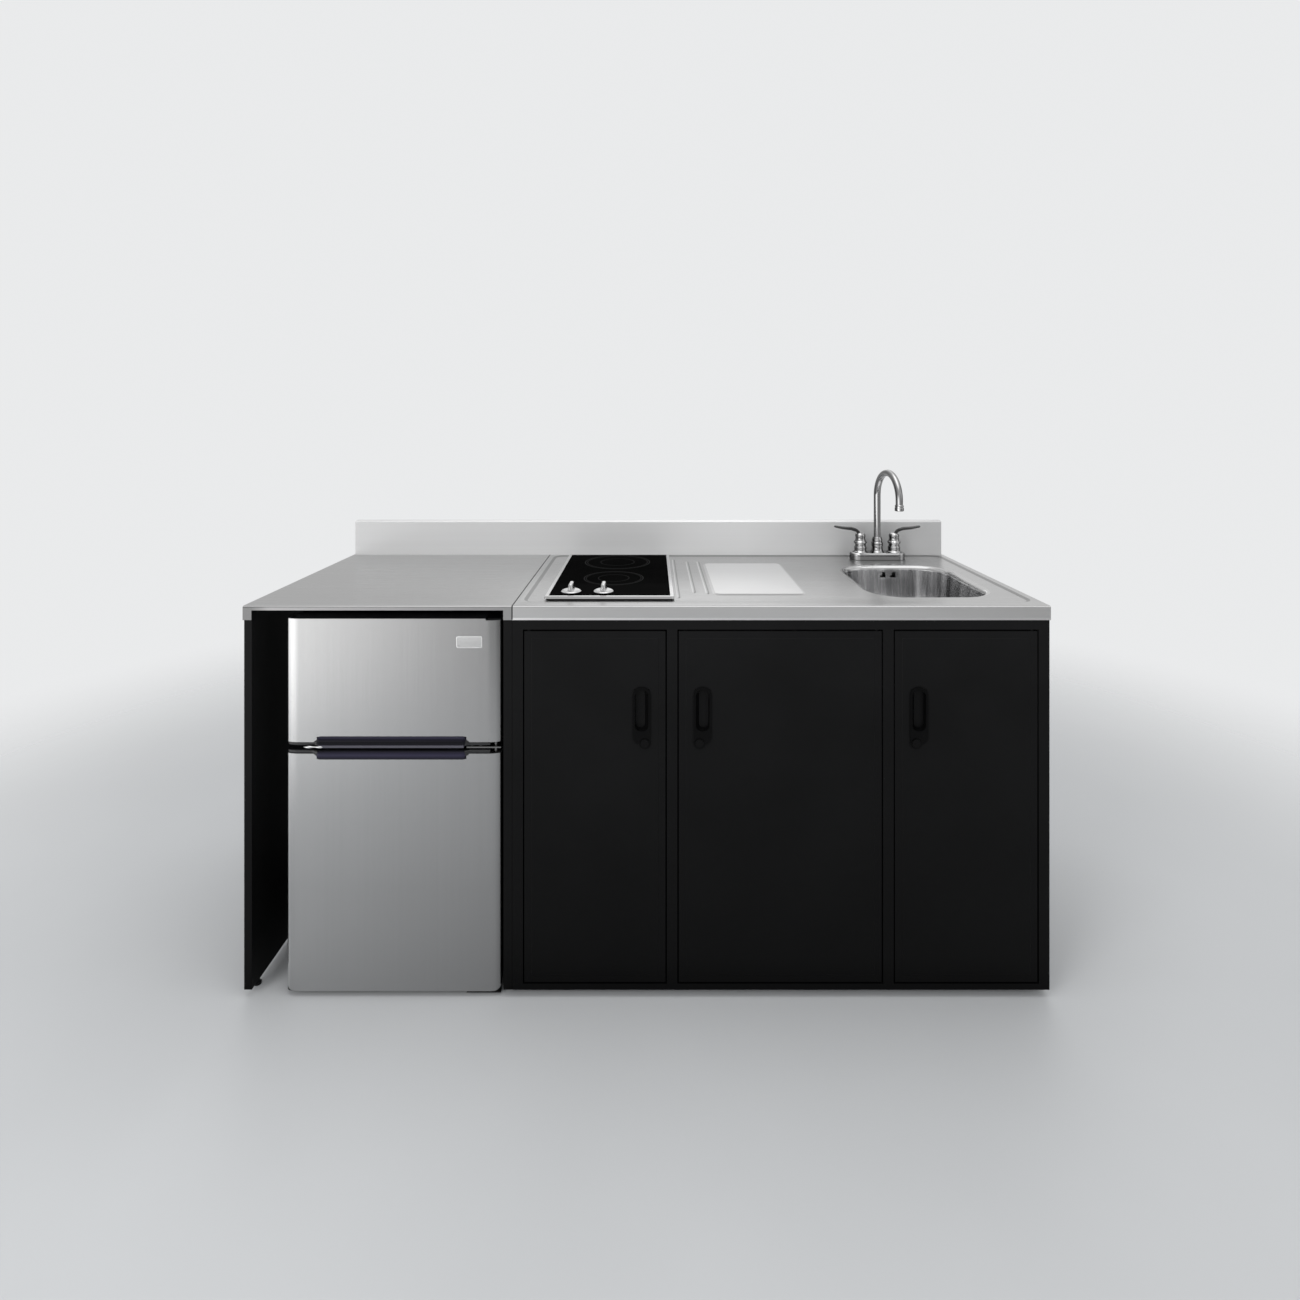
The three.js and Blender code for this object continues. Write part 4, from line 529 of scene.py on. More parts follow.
def on_slope(limits):
    low, high = limits
    return lambda centre, normal: low < normal.z < high and centre.z > FIELD_LEVEL


def on_bead(side):
    return lambda centre, normal: on_slope(BEAD_SLOPE)(centre, normal) and normal.x * side > 0.1


# Painted light and shade on the pressed top: the drainer pad and its slopes in lighter steel, the field's
# border slopes dark, and each bead lit on its left-facing flank and shaded on its right-facing flank.
for material, inside in (
        (pad_steel, on_pad), (crease_shade, on_slope(BORDER_SLOPE)), (pad_slope, on_slope(PAD_SLOPE)),
        (crease_highlight, on_bead(-1)), (crease_shade, on_bead(1))):
    paint_where(NODES["right_worktop"], material, inside)
for node, steel in (("left_worktop", skirt_left), ("right_worktop", skirt_steel)):
    paint_where(NODES[node], steel, lambda centre, normal: normal.y < -0.8 or abs(normal.x) > 0.9)

case_low, case_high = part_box("fridge_case")
door_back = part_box("fridge_gasket")[0].y
CASE_WALL = 0.035
CAVITY_BACK = 0.186
CAVITY_FOOT, CAVITY_TOP = 0.055, 0.818


def in_cavity(centre, normal):
    return (
        case_low.x + CASE_WALL < centre.x < case_high.x - CASE_WALL
        and case_low.y + 0.001 <= centre.y < CAVITY_BACK and CAVITY_FOOT < centre.z < CAVITY_TOP)


paint_where(NODES["fridge_case"], liner_plastic, in_cavity)
for node in ("fridge_door", "freezer_door"):
    paint_where(NODES[node], end_cap, lambda centre, normal: abs(normal.z) > 0.9)
    paint_where(NODES[node], liner_plastic, lambda centre, normal: centre.y > door_back - LEVEL_SLACK)


# ---------------- mesh helpers
def box_mm(node):
    low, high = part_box(node)
    return Vector(low) / MM, Vector(high) / MM


def middle_of(node):
    """The middle of a node's box in plan, in millimetres."""
    low, high = box_mm(node)
    return (low.x + high.x) / 2, (low.y + high.y) / 2


def at(x, y, z):
    """A point given in millimetres."""
    return Vector((x, y, z)) * MM


def piece(name, mesh, material, body, replaces=None, bevel=0.0):
    """A piece of the scene that rides on a body and may stand for a CAD node."""
    obj = bpy.data.objects.new(name, mesh)
    bpy.context.scene.collection.objects.link(obj)
    mesh.materials.append(material)
    for polygon in mesh.polygons:
        polygon.use_smooth = True
    soften(obj, bevel)
    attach(obj, body)
    if replaces:
        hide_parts(replaces)
    return obj


def mesh_of(rings, loop=False, caps=True):
    """A skin over rings of equally many points, or of one point where it comes to a tip."""
    mesh = bpy.data.meshes.new("skin")
    bm = bmesh.new()
    rows = [[bm.verts.new(p) for p in ring] for ring in rings]
    count = max(len(row) for row in rows)
    pairs = list(zip(rows, rows[1:]))
    if loop:
        pairs.append((rows[-1], rows[0]))
    for a, b in pairs:
        for j in range(count):
            k = (j + 1) % count
            corners = list(dict.fromkeys((a[j % len(a)], a[k % len(a)], b[k % len(b)], b[j % len(b)])))
            if len(corners) > 2:
                bm.faces.new(corners)
    if caps and not loop:
        bm.faces.new(rows[0][::-1])
        bm.faces.new(rows[-1])
    bmesh.ops.recalc_face_normals(bm, faces=bm.faces)
    bm.to_mesh(mesh)
    bm.free()
    return mesh


def circle(steps, start=0.0):
    """(cos, sin) at equal steps through a full turn."""
    angles = [start + 2 * math.pi * j / steps for j in range(steps)]
    return [(math.cos(angle), math.sin(angle)) for angle in angles]


def revolved(profile, x, y, steps, closed=False):
    """A turned piece on a vertical axis, from (radius, z) points; all in millimetres."""
    turn = circle(steps)
    return mesh_of([
        [at(x + radius * c, y + radius * s, z) for c, s in (turn if radius > 1e-6 else turn[:1])]
        for radius, z in profile
    ], closed, caps=False)


def quarter(steps):
    """(1 - cos, 1 - sin) at equal steps through a quarter turn."""
    angles = [i / steps * math.pi / 2 for i in range(steps + 1)]
    return [(1 - math.cos(angle), 1 - math.sin(angle)) for angle in angles]


def rounded_ring(u0, u1, v0, v1, radius, steps, place):
    """A rounded rectangle in two measures, which place turns into a point."""
    ring = []
    for u, v, start in (
            (u1 - radius, v0 + radius, -0.5), (u1 - radius, v1 - radius, 0.0),
            (u0 + radius, v1 - radius, 0.5), (u0 + radius, v0 + radius, 1.0)):
        for i in range(steps + 1):
            angle = (start + 0.5 * i / steps) * math.pi
            ring.append(place(u + radius * math.cos(angle), v + radius * math.sin(angle)))
    return ring


def rect_ring(x, y, half_x, half_y, radius, z, steps):
    """A rounded outline lying level."""
    return rounded_ring(
        x - half_x, x + half_x, y - half_y, y + half_y, radius, steps, lambda u, v: at(u, v, z))


def front_rect(x0, x1, z0, z1, radius, y, steps=6):
    """A rounded outline standing in the front plane."""
    return rounded_ring(x0, x1, z0, z1, radius, steps, lambda u, v: at(u, y, v))


def swept(points, side, section, widths):
    """Rings of a section (u, v) carried along points in the plane square to side; widths scale it."""
    rings = []
    n = len(points)
    for i, point in enumerate(points):
        before = points[max(i - 1, 0)]
        after = points[min(i + 1, n - 1)]
        along = (after - before).normalized()
        up = along.cross(side).normalized()
        wide, deep = widths[i]
        rings.append([point + side * (u * wide) + up * (v * deep) for u, v in section])
    return rings


def joined_mesh(meshes):
    """Several meshes in one piece."""
    out = bpy.data.meshes.new("joined")
    bm = bmesh.new()
    for mesh in meshes:
        bm.from_mesh(mesh)
        bpy.data.meshes.remove(mesh)
    bm.to_mesh(out)
    bm.free()
    return out


ROUND = circle(32)


def carved(mesh, add_meshes, cut_meshes):
    """The mesh joined with some closed meshes and then cut by others."""
    helpers = []

    def helper(shape):
        obj = bpy.data.objects.new("carving", shape)
        bpy.context.scene.collection.objects.link(obj)
        helpers.append(obj)
        return obj

    base = helper(mesh)
    for operation, shapes in (("UNION", add_meshes), ("DIFFERENCE", cut_meshes)):
        for shape in shapes:
            step = base.modifiers.new("step", "BOOLEAN")
            step.operation = operation
            step.solver = "EXACT"
            step.object = helper(shape)
    view = bpy.context.evaluated_depsgraph_get()
    result = bpy.data.meshes.new_from_object(base.evaluated_get(view))
    for obj in helpers:
        bpy.data.objects.remove(obj)
    return result


def block_mesh(low, high):
    """A closed box between two corners, for carving."""
    x0, y0, z0 = low
    x1, y1, z1 = high
    return mesh_of([
        [at(x0, y0, z), at(x1, y0, z), at(x1, y1, z), at(x0, y1, z)] for z in (z0, z1)])


# ---------------- seal in the worktops' seam
SEAL_HALF = 1.5
SEAL_PROUD = 0.35
SEAL_SUNK = 0.8
NOSE_RADIUS = 4.0
left_top_high = box_mm("left_worktop")[1]
right_top_low, right_top_high = box_mm("right_worktop")


def seal_mesh():
    """A low bead along the seam and down the front, from (y, z) places and the way out at each."""
    x = (left_top_high.x + right_top_low.x) / 2
    level, front = right_top_high.z, right_top_low.y
    line = [((box_mm("backsplash")[0].y + 4, level), (0, 1))]
    line += [((front + NOSE_RADIUS * s, level - NOSE_RADIUS * c), (s - 1, 1 - c)) for c, s in quarter(8)]
    line.append(((front, right_top_low.z + 1.0), (-1, 0)))
    half = [(SEAL_HALF, -SEAL_SUNK), (SEAL_HALF, 0.0), (SEAL_HALF * 0.55, SEAL_PROUD)]
    section = [(-across, out) for across, out in half] + half[::-1]
    return mesh_of([
        [at(x + across, y + out * ny, z + out * nz) for across, out in section] for (y, z), (ny, nz) in line])


piece("worktop_seam_seal", seal_mesh(), seam_seal, "unit")

# ---------------- sink bowl
LIP = 13.0
BOWL_HALF_Y = 171.5
BOWL_CORNER = 75.0
BOWL_SHEET = 1.5
BOWL_TAPER = 7.0
BOWL_FILLET = 26.0
BOWL_FLOOR = 146.0
BOWL_FALL = 5.0
DRAIN_RADIUS = 45.0
HOLE = 16.0
HOLE_PITCH = 29.0
HOLE_DROP = 17.0
DUCT_DROP = 34.0
CORNER_STEPS = 20

bowl_low, bowl_high = box_mm("sink_bowl")
bowl_x = (bowl_low.x + bowl_high.x) / 2
bowl_half_x = (bowl_high.x - bowl_low.x) / 2 - LIP - SEAT
bowl_y = bowl_low.y + LIP + SEAT + BOWL_HALF_Y
bowl_top = bowl_high.z
bowl_floor = bowl_top - BOWL_FLOOR


def bowl_ring(out, z):
    return rect_ring(
        bowl_x, bowl_y, bowl_half_x + out, BOWL_HALF_Y + out, max(BOWL_CORNER + out, 8), z, CORNER_STEPS)


def bowl_section():
    """Points (outwards from the bowl's outline, z) over the rolled lip and down to the floor."""
    crown = bowl_top + 0.1
    return (
        [(LIP + 0.8, crown)] + [(LIP * s, crown - LIP * c) for c, s in quarter(12)]
        + [(-BOWL_TAPER - BOWL_FILLET * c, bowl_floor + BOWL_FILLET * s) for c, s in quarter(10)])


def bowl_mesh():
    section = bowl_section()
    upper = [bowl_ring(out, z) for out, z in section]
    count = len(upper[0])
    drain = [
        at(bowl_x + DRAIN_RADIUS * c, bowl_y + DRAIN_RADIUS * s, bowl_floor - BOWL_FALL)
        for c, s in circle(count, math.pi / count - math.pi / 2)
    ]
    floor_rings = [[p.lerp(q, i / 6) for p, q in zip(upper[-1], drain)] for i in range(1, 7)]
    under = []
    for i, (out, z) in enumerate(section):
        before = section[max(i - 1, 0)]
        after = section[min(i + 1, len(section) - 1)]
        run, rise = after[0] - before[0], after[1] - before[1]
        length = math.hypot(run, rise)
        under.append(bowl_ring(out - rise / length * BOWL_SHEET, z + run / length * BOWL_SHEET))
    sunk = at(0, 0, -BOWL_SHEET)
    floor_under = [[p + sunk for p in ring] for ring in floor_rings]
    shell = mesh_of(upper + floor_rings + floor_under[::-1] + under[::-1], loop=True)
    middle = bowl_x - 1
    wall_y = bowl_y + BOWL_HALF_Y
    hole_top = bowl_top - HOLE_DROP
    hole_foot = hole_top - HOLE
    duct_half = HOLE_PITCH / 2 + HOLE
    duct_foot = hole_foot - DUCT_DROP
    duct_back = bowl_high.y
    duct = block_mesh(
        (middle - duct_half, wall_y - 2.2, duct_foot), (middle + duct_half, duct_back, hole_top + 2))
    bore = block_mesh(
        (middle - duct_half + BOWL_SHEET, wall_y + 0.8, duct_foot - 1),
        (middle + duct_half - BOWL_SHEET, duct_back - BOWL_SHEET, hole_top + 0.5))
    holes = [
        block_mesh(
            (middle + shift - HOLE / 2, wall_y - 12, hole_foot),
            (middle + shift + HOLE / 2, wall_y + 8, hole_top))
        for shift in (-HOLE_PITCH / 2, HOLE_PITCH / 2)
    ]
    return carved(shell, [duct], [bore] + holes)


piece("sink_bowl_drawn", bowl_mesh(), bowl_steel, "unit", "sink_bowl")

# ---------------- tap
DECK_EDGE = 13.5
DECK_ROLL = 7.5
HUB_PITCH = 102.0
SOCKET_TOP = 44.0
BELL_FOOT = 32.3
SPOUT_RADIUS = 10.0
SPOUT_BEND = 74.0
SPOUT_STRAIGHT = 192.0
SPOUT_DROP = 10.0
SPOUT_TURN = math.radians(6)
LEVER_REACH = 80.0
BLADE = ((0, 38), (0.12, 51.5), (0.34, 58.5), (0.66, 61), (1, 66))

body_low, body_high = box_mm("faucet_body")
tap_x, tap_y = middle_of("faucet_body")
tap_z = body_high.z - SOCKET_TOP
half_long = (body_high.x - body_low.x) / 2
half_deep = (body_high.y - body_low.y) / 2


def turned_at(profile, dx=0.0, steps=64, closed=False):
    """A turned piece round one of the tap's axes, with heights above the worktop."""
    return revolved([(r, tap_z + h) for r, h in profile], tap_x + dx, tap_y, steps, closed)


def capsule(out, height):
    return rect_ring(
        tap_x, tap_y, half_long + out, half_deep + out, half_deep + out - 0.01, tap_z + height, 16)


def tap_body_mesh():
    edge = [(-1.0, 0.0), (0.0, 0.5)] + [
        (-DECK_ROLL * c, DECK_EDGE + DECK_ROLL * (1 - s)) for c, s in quarter(8)]
    deck = mesh_of([capsule(out, height) for out, height in edge])
    side_hub = [
        (0, 14), (22, 14), (22.3, 20.5), (21.8, 22), (20.4, 23.2), (18.6, 24.4), (17.6, 26.2),
        (17.5, 28.4), (18.0, 30.2), (18.2, 31.2), (17.8, 32), (0, 32),
    ]
    centre_hub = [
        (0, 14), (20.2, 14), (20.6, 20.5), (20.2, 22), (18.9, 23.6), (17.4, 25.8), (16.2, 28.8),
        (15.6, 32.5), (15.5, 36), (16.0, 38.6), (17.0, 40.4), (17.2, 42.2), (16.6, 43.6), (15.4, 44),
        (10.6, 44), (10.6, 40), (0, 40),
    ]
    shank = [(0, -30), (12.5, -30), (13, -29), (13, 3), (0, 3)]
    parts = [deck, turned_at(centre_hub)]
    for side in (-1, 1):
        parts.append(turned_at(side_hub, side * HUB_PITCH / 2))
        parts.append(turned_at(shank, side * HUB_PITCH / 2, 32))
    return joined_mesh(parts)


piece("tap_body", tap_body_mesh(), chrome, "unit", "faucet_body")
piece("tap_nut", turned_at([
    (10.6, 44.4), (15.4, 44.4), (16.6, 45.3), (17.2, 47), (16.8, 49), (15.6, 50.6), (14.6, 52.4),
    (14.8, 54.6), (15.4, 56.4), (15.4, 58.4), (14.4, 60.4), (13.4, 63), (12.8, 65.6), (11.8, 67),
    (10.6, 67.2),
], closed=True), chrome, "unit", "spout_nut")


def smooth_point(points, t):
    """A point on a smooth curve through the points, for t from 0 to 1."""
    last = len(points) - 1
    place = min(t * last, last - 1e-9)
    i = int(place)
    u = place - i
    p0 = points[max(i - 1, 0)]
    p1, p2 = points[i], points[i + 1]
    p3 = points[min(i + 2, last)]
    return 0.5 * (
        2 * p1 + (p2 - p0) * u + (2 * p0 - 5 * p1 + 4 * p2 - p3) * u ** 2
        + (3 * p1 - p0 - 3 * p2 + p3) * u ** 3)


def lever_mesh(side):
    """A turned bell and a blade that leaves its side; the blade wears the piece's second material."""
    foot = BELL_FOOT
    bell = turned_at([(0, foot)] + [(r, foot + h) for r, h in (
        (17.2, 0), (17.9, 0.8), (18.2, 2.6), (17.6, 4.6), (16.2, 6.4), (15.4, 9), (15.6, 12),
        (17.2, 14.6), (19.0, 16.4), (19.6, 18), (19.2, 19.8), (17.6, 21.4), (15.8, 23.4), (14.6, 26.6),
        (14.2, 30.4), (14.6, 34), (15.2, 37), (15.0, 40), (13.6, 42.8), (10.8, 45), (7.2, 46.4),
        (3.4, 46.9), (0, 47))], side * HUB_PITCH / 2)
    controls = [Vector((LEVER_REACH * share, 0, rise)) for share, rise in BLADE]
    stations = 32
    path = [smooth_point(controls, i / stations) for i in range(stations + 1)]
    widths = []
    for i in range(stations + 1):
        t = i / stations
        round_off = math.sqrt(max(1 - max(t - 0.94, 0) ** 2 / 0.06 ** 2, 0.02))
        waist = 1.0 - 0.16 * math.sin(math.pi * min(t / 0.45, 1))
        thick = 1.0 - 0.25 * t + 0.4 * math.sin(math.pi * t)
        widths.append((4 * (0.92 + 0.72 * t) * waist * round_off, 4 * thick * round_off))
    hub = tap_x + side * HUB_PITCH / 2
    blade = mesh_of([
        [at(hub + side * p.x, tap_y + p.y, tap_z + foot + p.z) for p in ring]
        for ring in swept(path, Vector((0, 1, 0)), ROUND, widths)])
    for polygon in blade.polygons:
        polygon.material_index = 1
    return joined_mesh([bell, blade])


for label, side, node in (("hot", -1, "faucet_lever_left"), ("cold", 1, "faucet_lever_right")):
    lever = piece("tap_lever_" + label, lever_mesh(side), chrome, label + "_lever", node)
    lever.data.materials.append(blade_chrome)


def spout_path():
    """Up from the socket, over a half turn and down to the outlet."""
    line = [(0, SOCKET_TOP - 25.7), (0, SOCKET_TOP + 10)]
    line += [(SPOUT_BEND * (c - 1), SPOUT_STRAIGHT + SPOUT_BEND * s) for c, s in circle(96)[:49]]
    line.append((-2 * SPOUT_BEND, SPOUT_STRAIGHT - SPOUT_DROP))
    return [Vector((0, y, z)) for y, z in line]


def turned_with_spout(mesh):
    """Sets a mesh built in the spout's own millimetres at its resting turn on the tap."""
    mesh.transform(
        Matrix.Translation(at(tap_x, tap_y, tap_z)) @ Matrix.Rotation(SPOUT_TURN, 4, "Z")
        @ Matrix.Scale(MM, 4))
    return mesh


def spout_mesh():
    path = spout_path()
    rings = swept(path, Vector((1, 0, 0)), ROUND, [(SPOUT_RADIUS, SPOUT_RADIUS)] * len(path))
    return turned_with_spout(mesh_of(rings))


def aerator_mesh():
    top = SPOUT_STRAIGHT - SPOUT_DROP - SEAT
    foot = top - 18
    profile = [
        (6, foot + 3), (10.6, foot), (11.8, foot + 0.5), (12.5, foot + 1.8), (12.5, foot + 8.5),
        (12.0, foot + 10), (11.1, foot + 10.8), (11.1, foot + 12), (12.0, foot + 12.8),
        (12.0, foot + 15), (11.2, foot + 16.6), (10.2, top), (6, top),
    ]
    mesh = revolved(profile, 0, -2 * SPOUT_BEND, 48, closed=True)
    mesh.transform(Matrix.Scale(1 / MM, 4))
    return turned_with_spout(mesh)


piece("tap_spout", spout_mesh(), spout_chrome, "swivel_spout", "spout")
piece("tap_aerator", aerator_mesh(), chrome, "swivel_spout", "aerator")

# ---------------- hob knobs
def knob_mesh(node):
    """A round skirt with a fin to hold, narrowing upwards: rows of (half width, half length, height)."""
    low, high = box_mm(node)
    x, y = middle_of(node)
    radius = (high.x - low.x) / 2
    z0 = box_mm("hob_glass")[1].z + SEAT
    skirt = revolved([
        (0, low.z), (4, low.z), (4, z0), (radius - 0.6, z0), (radius, z0 + 0.5), (radius, z0 + 1.8),
        (radius - 0.8, z0 + 3.0), (radius - 2.4, z0 + 4.2), (radius - 4.6, z0 + 5.2),
        (radius - 6.4, z0 + 5.7), (0, z0 + 6),
    ], x, y, 72)
    rows = [(8.4, 21.5, 5.2), (7.4, 21.0, 6.2), (6.5, 20.6, 8.2), (6.0, 20.2, 11), (5.6, 19.4, 15),
            (5.2, 18.4, 18.4), (4.4, 17.2, 20.6), (3.2, 15.8, 21.7), (1.8, 14.2, 22)]
    rings = [rect_ring(x, y, half, long, min(half - 0.1, 5), z0 + height, 6) for half, long, height in rows]
    return joined_mesh([skirt, mesh_of(rings)])


for side, label in (("left", "front"), ("right", "rear")):
    node = "hob_knob_" + side
    piece("hob_knob_" + label + "_zone", knob_mesh(node), knob_metal, side + "_knob", node)


# ---------------- refrigerator grips
def padded_plate(x0, x1, z0, z1, radius, back, front, edge, steps=6, inwards=None, rolls=5):
    """A plate in the front plane whose front edge is rolled over by edge, and inwards by another size."""
    rings = [front_rect(x0, x1, z0, z1, radius, back, steps)]
    for c, s in quarter(rolls):
        inset = (inwards or edge) * c
        rings.append(front_rect(
            x0 + inset, x1 - inset, z0 + inset, z1 - inset, max(radius - inset, 0.3), front + edge * s,
            steps))
    return mesh_of(rings)


GRIP_ROLL = 5.4
GRIP_ROLL_IN = 9.4
GRIP_LIP = 0.8
LIP_OVER = 2.6
LIP_UNDER = 3.4
GRIP_PROUD = 7.5
GRIP_OVERLAP = 12.5
GRIP_CHANNEL = 17.0
GRIP_WALL = 3.5


def grip_mesh(node, into):
    """The bar in front of the door and the channel that it lines; into is 1 where the door is above."""
    low, high = box_mm(node)
    face = low.y + GRIP_PROUD
    bar = padded_plate(
        low.x, high.x, low.z, high.z, 8.0, face + 0.4, low.y + GRIP_LIP, GRIP_ROLL, 8, GRIP_ROLL_IN,
        10)
    if into > 0:
        lip_low, lip_high, lip_front = low.z - LIP_UNDER, low.z + LIP_OVER, low.y + 1.3
        edge = low.z + GRIP_PROUD
    else:
        lip_low, lip_high, lip_front = high.z - 2, high.z + 1, face - 2.4
        edge = high.z - GRIP_PROUD
    lip = padded_plate(low.x + 4, high.x - 4, lip_low, lip_high, 1.4, face + 0.4, lip_front, 1.2, 6)
    # The upper bar's lip wears the second material, a lighter plastic painted as a highlight line.
    if into > 0:
        for polygon in lip.polygons:
            polygon.material_index = 1
    rim = GRIP_OVERLAP - 0.6
    inner = GRIP_OVERLAP - GRIP_WALL

    def extruded(outline, x0, x1):
        """A bar of (depth behind the face, rise into the door) points between two places across."""
        return mesh_of([
            [at(x, face + deep, edge + into * rise) for deep, rise in outline] for x in (x0, x1)])

    back = GRIP_CHANNEL + GRIP_WALL
    channel = extruded((
        (-2.4, rim), (-2.4, inner), (GRIP_CHANNEL - 3, inner), (GRIP_CHANNEL, inner - 3),
        (GRIP_CHANNEL, 0.5), (back, 0.5), (back, rim)), low.x + 3, high.x - 3)
    behind = GRIP_CHANNEL + 0.5
    end = ((-2.2, -2), (-2.2, inner + 0.5), (behind, inner + 0.5), (behind, 0.5), (1, 0.5), (1, -2))
    ends = [extruded(end, x, x + 3) for x in (low.x + 1.2, high.x - 4.2)]
    return joined_mesh([bar, lip, channel] + ends)


COLD_DOORS = (("freezer", "freezer", 1), ("fridge", "refrigerator", -1))
for label, body, into in COLD_DOORS:
    node = label + "_grip"
    bar = piece(label + "_pull_bar", grip_mesh(node, into), grip_plastic, body, node, 0.4 * MM)
    bar.data.materials.append(grip_lip_highlight)

# ---------------- fairings beside the grips
FAIRING_HEIGHT = 8.0
FAIRING_FLARE = 15.0
FAIRING_RISE = 6.0
FAIRING_PROUD = 4.6
FAIRING_DEEP = 30.0
FAIRING_PIN_GAP = 11.0
DOOR_ROLL_WIDTH = 30.0
DOOR_ROLL_DEPTH = 9.0
pin_x = JOINTS["fridge_door_hinge"]["pos_m"][0] / MM


def fairing_mesh(outer, inner, door, into):
    """A moulding along a door's end from its outer end to the grip, where it swells to meet the bar."""
    low, high = box_mm(door)
    face = low.y
    edge = low.z if into > 0 else high.z
    rings = []
    stations = 22
    for i in range(stations + 1):
        x = outer + (inner - outer) * i / stations
        near = max(1 - abs(inner - x) / FAIRING_FLARE, 0)
        swell = near * near * (3 - 2 * near)
        side = min(x - low.x, high.x - x)
        turned = max(1 - side / DOOR_ROLL_WIDTH, 0)
        rolled = DOOR_ROLL_DEPTH * (1 - math.sqrt(max(1 - turned ** 2, 0)))
        front = face + rolled + 0.6 - FAIRING_PROUD * swell
        tip = edge - into * FAIRING_HEIGHT
        root = edge + into * FAIRING_RISE * swell
        rings.append(rounded_ring(
            front, face + FAIRING_DEEP, min(tip, root), max(tip, root), 2.6 + 1.2 * swell, 4,
            lambda u, v: at(x, u, v)))
    return mesh_of(rings)


grip_low, grip_high = box_mm("freezer_grip")
for label, body, into in COLD_DOORS:
    door = label + "_door"
    low, high = box_mm(door)
    piece(
        door + "_gap_moulding", joined_mesh([
            fairing_mesh(low.x + 0.8, grip_low.x + 3, door, into),
            fairing_mesh(pin_x - FAIRING_PIN_GAP, grip_high.x - 3, door, into),
        ]), gap_black, body)

# A bright chrome tip at the left end of the upper bar's lip, put there to give a highlight.
TIP_LEFT, TIP_RIGHT = -776.0, -728.0
TIP_RADIUS = 2.7


def tip_mesh():
    """Two drops in a row, joined by a waist."""
    stations = 28
    path, widths = [], []
    for i in range(stations + 1):
        t = i / stations
        bulge = abs(math.sin(2 * math.pi * t)) if 0 < t < 1 else 0
        waist = 0.5 if 0.25 < t < 0.75 else 0.08
        radius = TIP_RADIUS * max(bulge, waist) * MM
        x = TIP_LEFT + (TIP_RIGHT - TIP_LEFT) * t
        path.append(at(x, grip_low.y + TIP_RADIUS + 0.1, grip_low.z - 1.2))
        widths.append((radius, radius))
    return mesh_of(swept(path, Vector((0, 1, 0)), ROUND, widths))


piece("freezer_pull_tip", tip_mesh(), bright_chrome, "freezer")

# ---------------- screws of the middle hinge
SCREW_RADIUS = 4.2
SCREW_HEIGHT = 2.4
leaf_low, leaf_high = box_mm("hinge_middle")
leaf_top = (leaf_low.z + leaf_high.z) / 2 + 1.5


def screw_mesh(x, y, foot):
    """A pan head with a cross recess."""
    head = revolved([
        (0, foot - 0.5), (SCREW_RADIUS, foot - 0.5), (SCREW_RADIUS, foot + 0.8),
        (SCREW_RADIUS - 0.7, foot + 1.8), (SCREW_RADIUS - 2, foot + SCREW_HEIGHT), (0, foot + SCREW_HEIGHT),
    ], x, y, 24)
    top = foot + SCREW_HEIGHT
    slots = [
        block_mesh((x - long, y - short, top - 0.9), (x + long, y + short, top + 1))
        for long, short in ((2.2, 0.5), (0.5, 2.2))
    ]
    return carved(head, [], slots)


screws = joined_mesh([
    screw_mesh(leaf_low.x + inset, leaf_low.y + 9, leaf_top) for inset in (10, 30)])
piece("middle_hinge_screws", screws, knob_metal, "unit")

# ---------------- cabinet pulls
PLATE_CORNER = 19.5
PLATE_HEIGHT = 131.0
PLATE_ROLL = 1.3
CUP_WIDTH = 31.0
CUP_HEIGHT = 92.0
CUP_TOP_MARGIN = 7.6
CUP_CORNER = 13.0
CUP_DEPTH = 12.0
CUP_SLOPE = 8.0
CUP_WALL = 1.6
BOSS_RADIUS = 13.5
BOSS_CASE = 11.5
BOSS_DEPTH = 14.0
BUTTON_BORE = 9.9
BUTTON_ROOM = 0.5
CARCASE_FRONT = -303.0


def round_slab(x, z, radius, back, front, edge=0.0):
    """A disc in the front plane, its front edge rolled over by edge."""
    rows = [(radius, back)]
    rows += [(radius - edge * c, front + edge * s) for c, s in quarter(4)] if edge else [(radius, front)]
    return mesh_of([[at(x + r * c, y, z + r * s) for c, s in circle(48)] for r, y in rows])


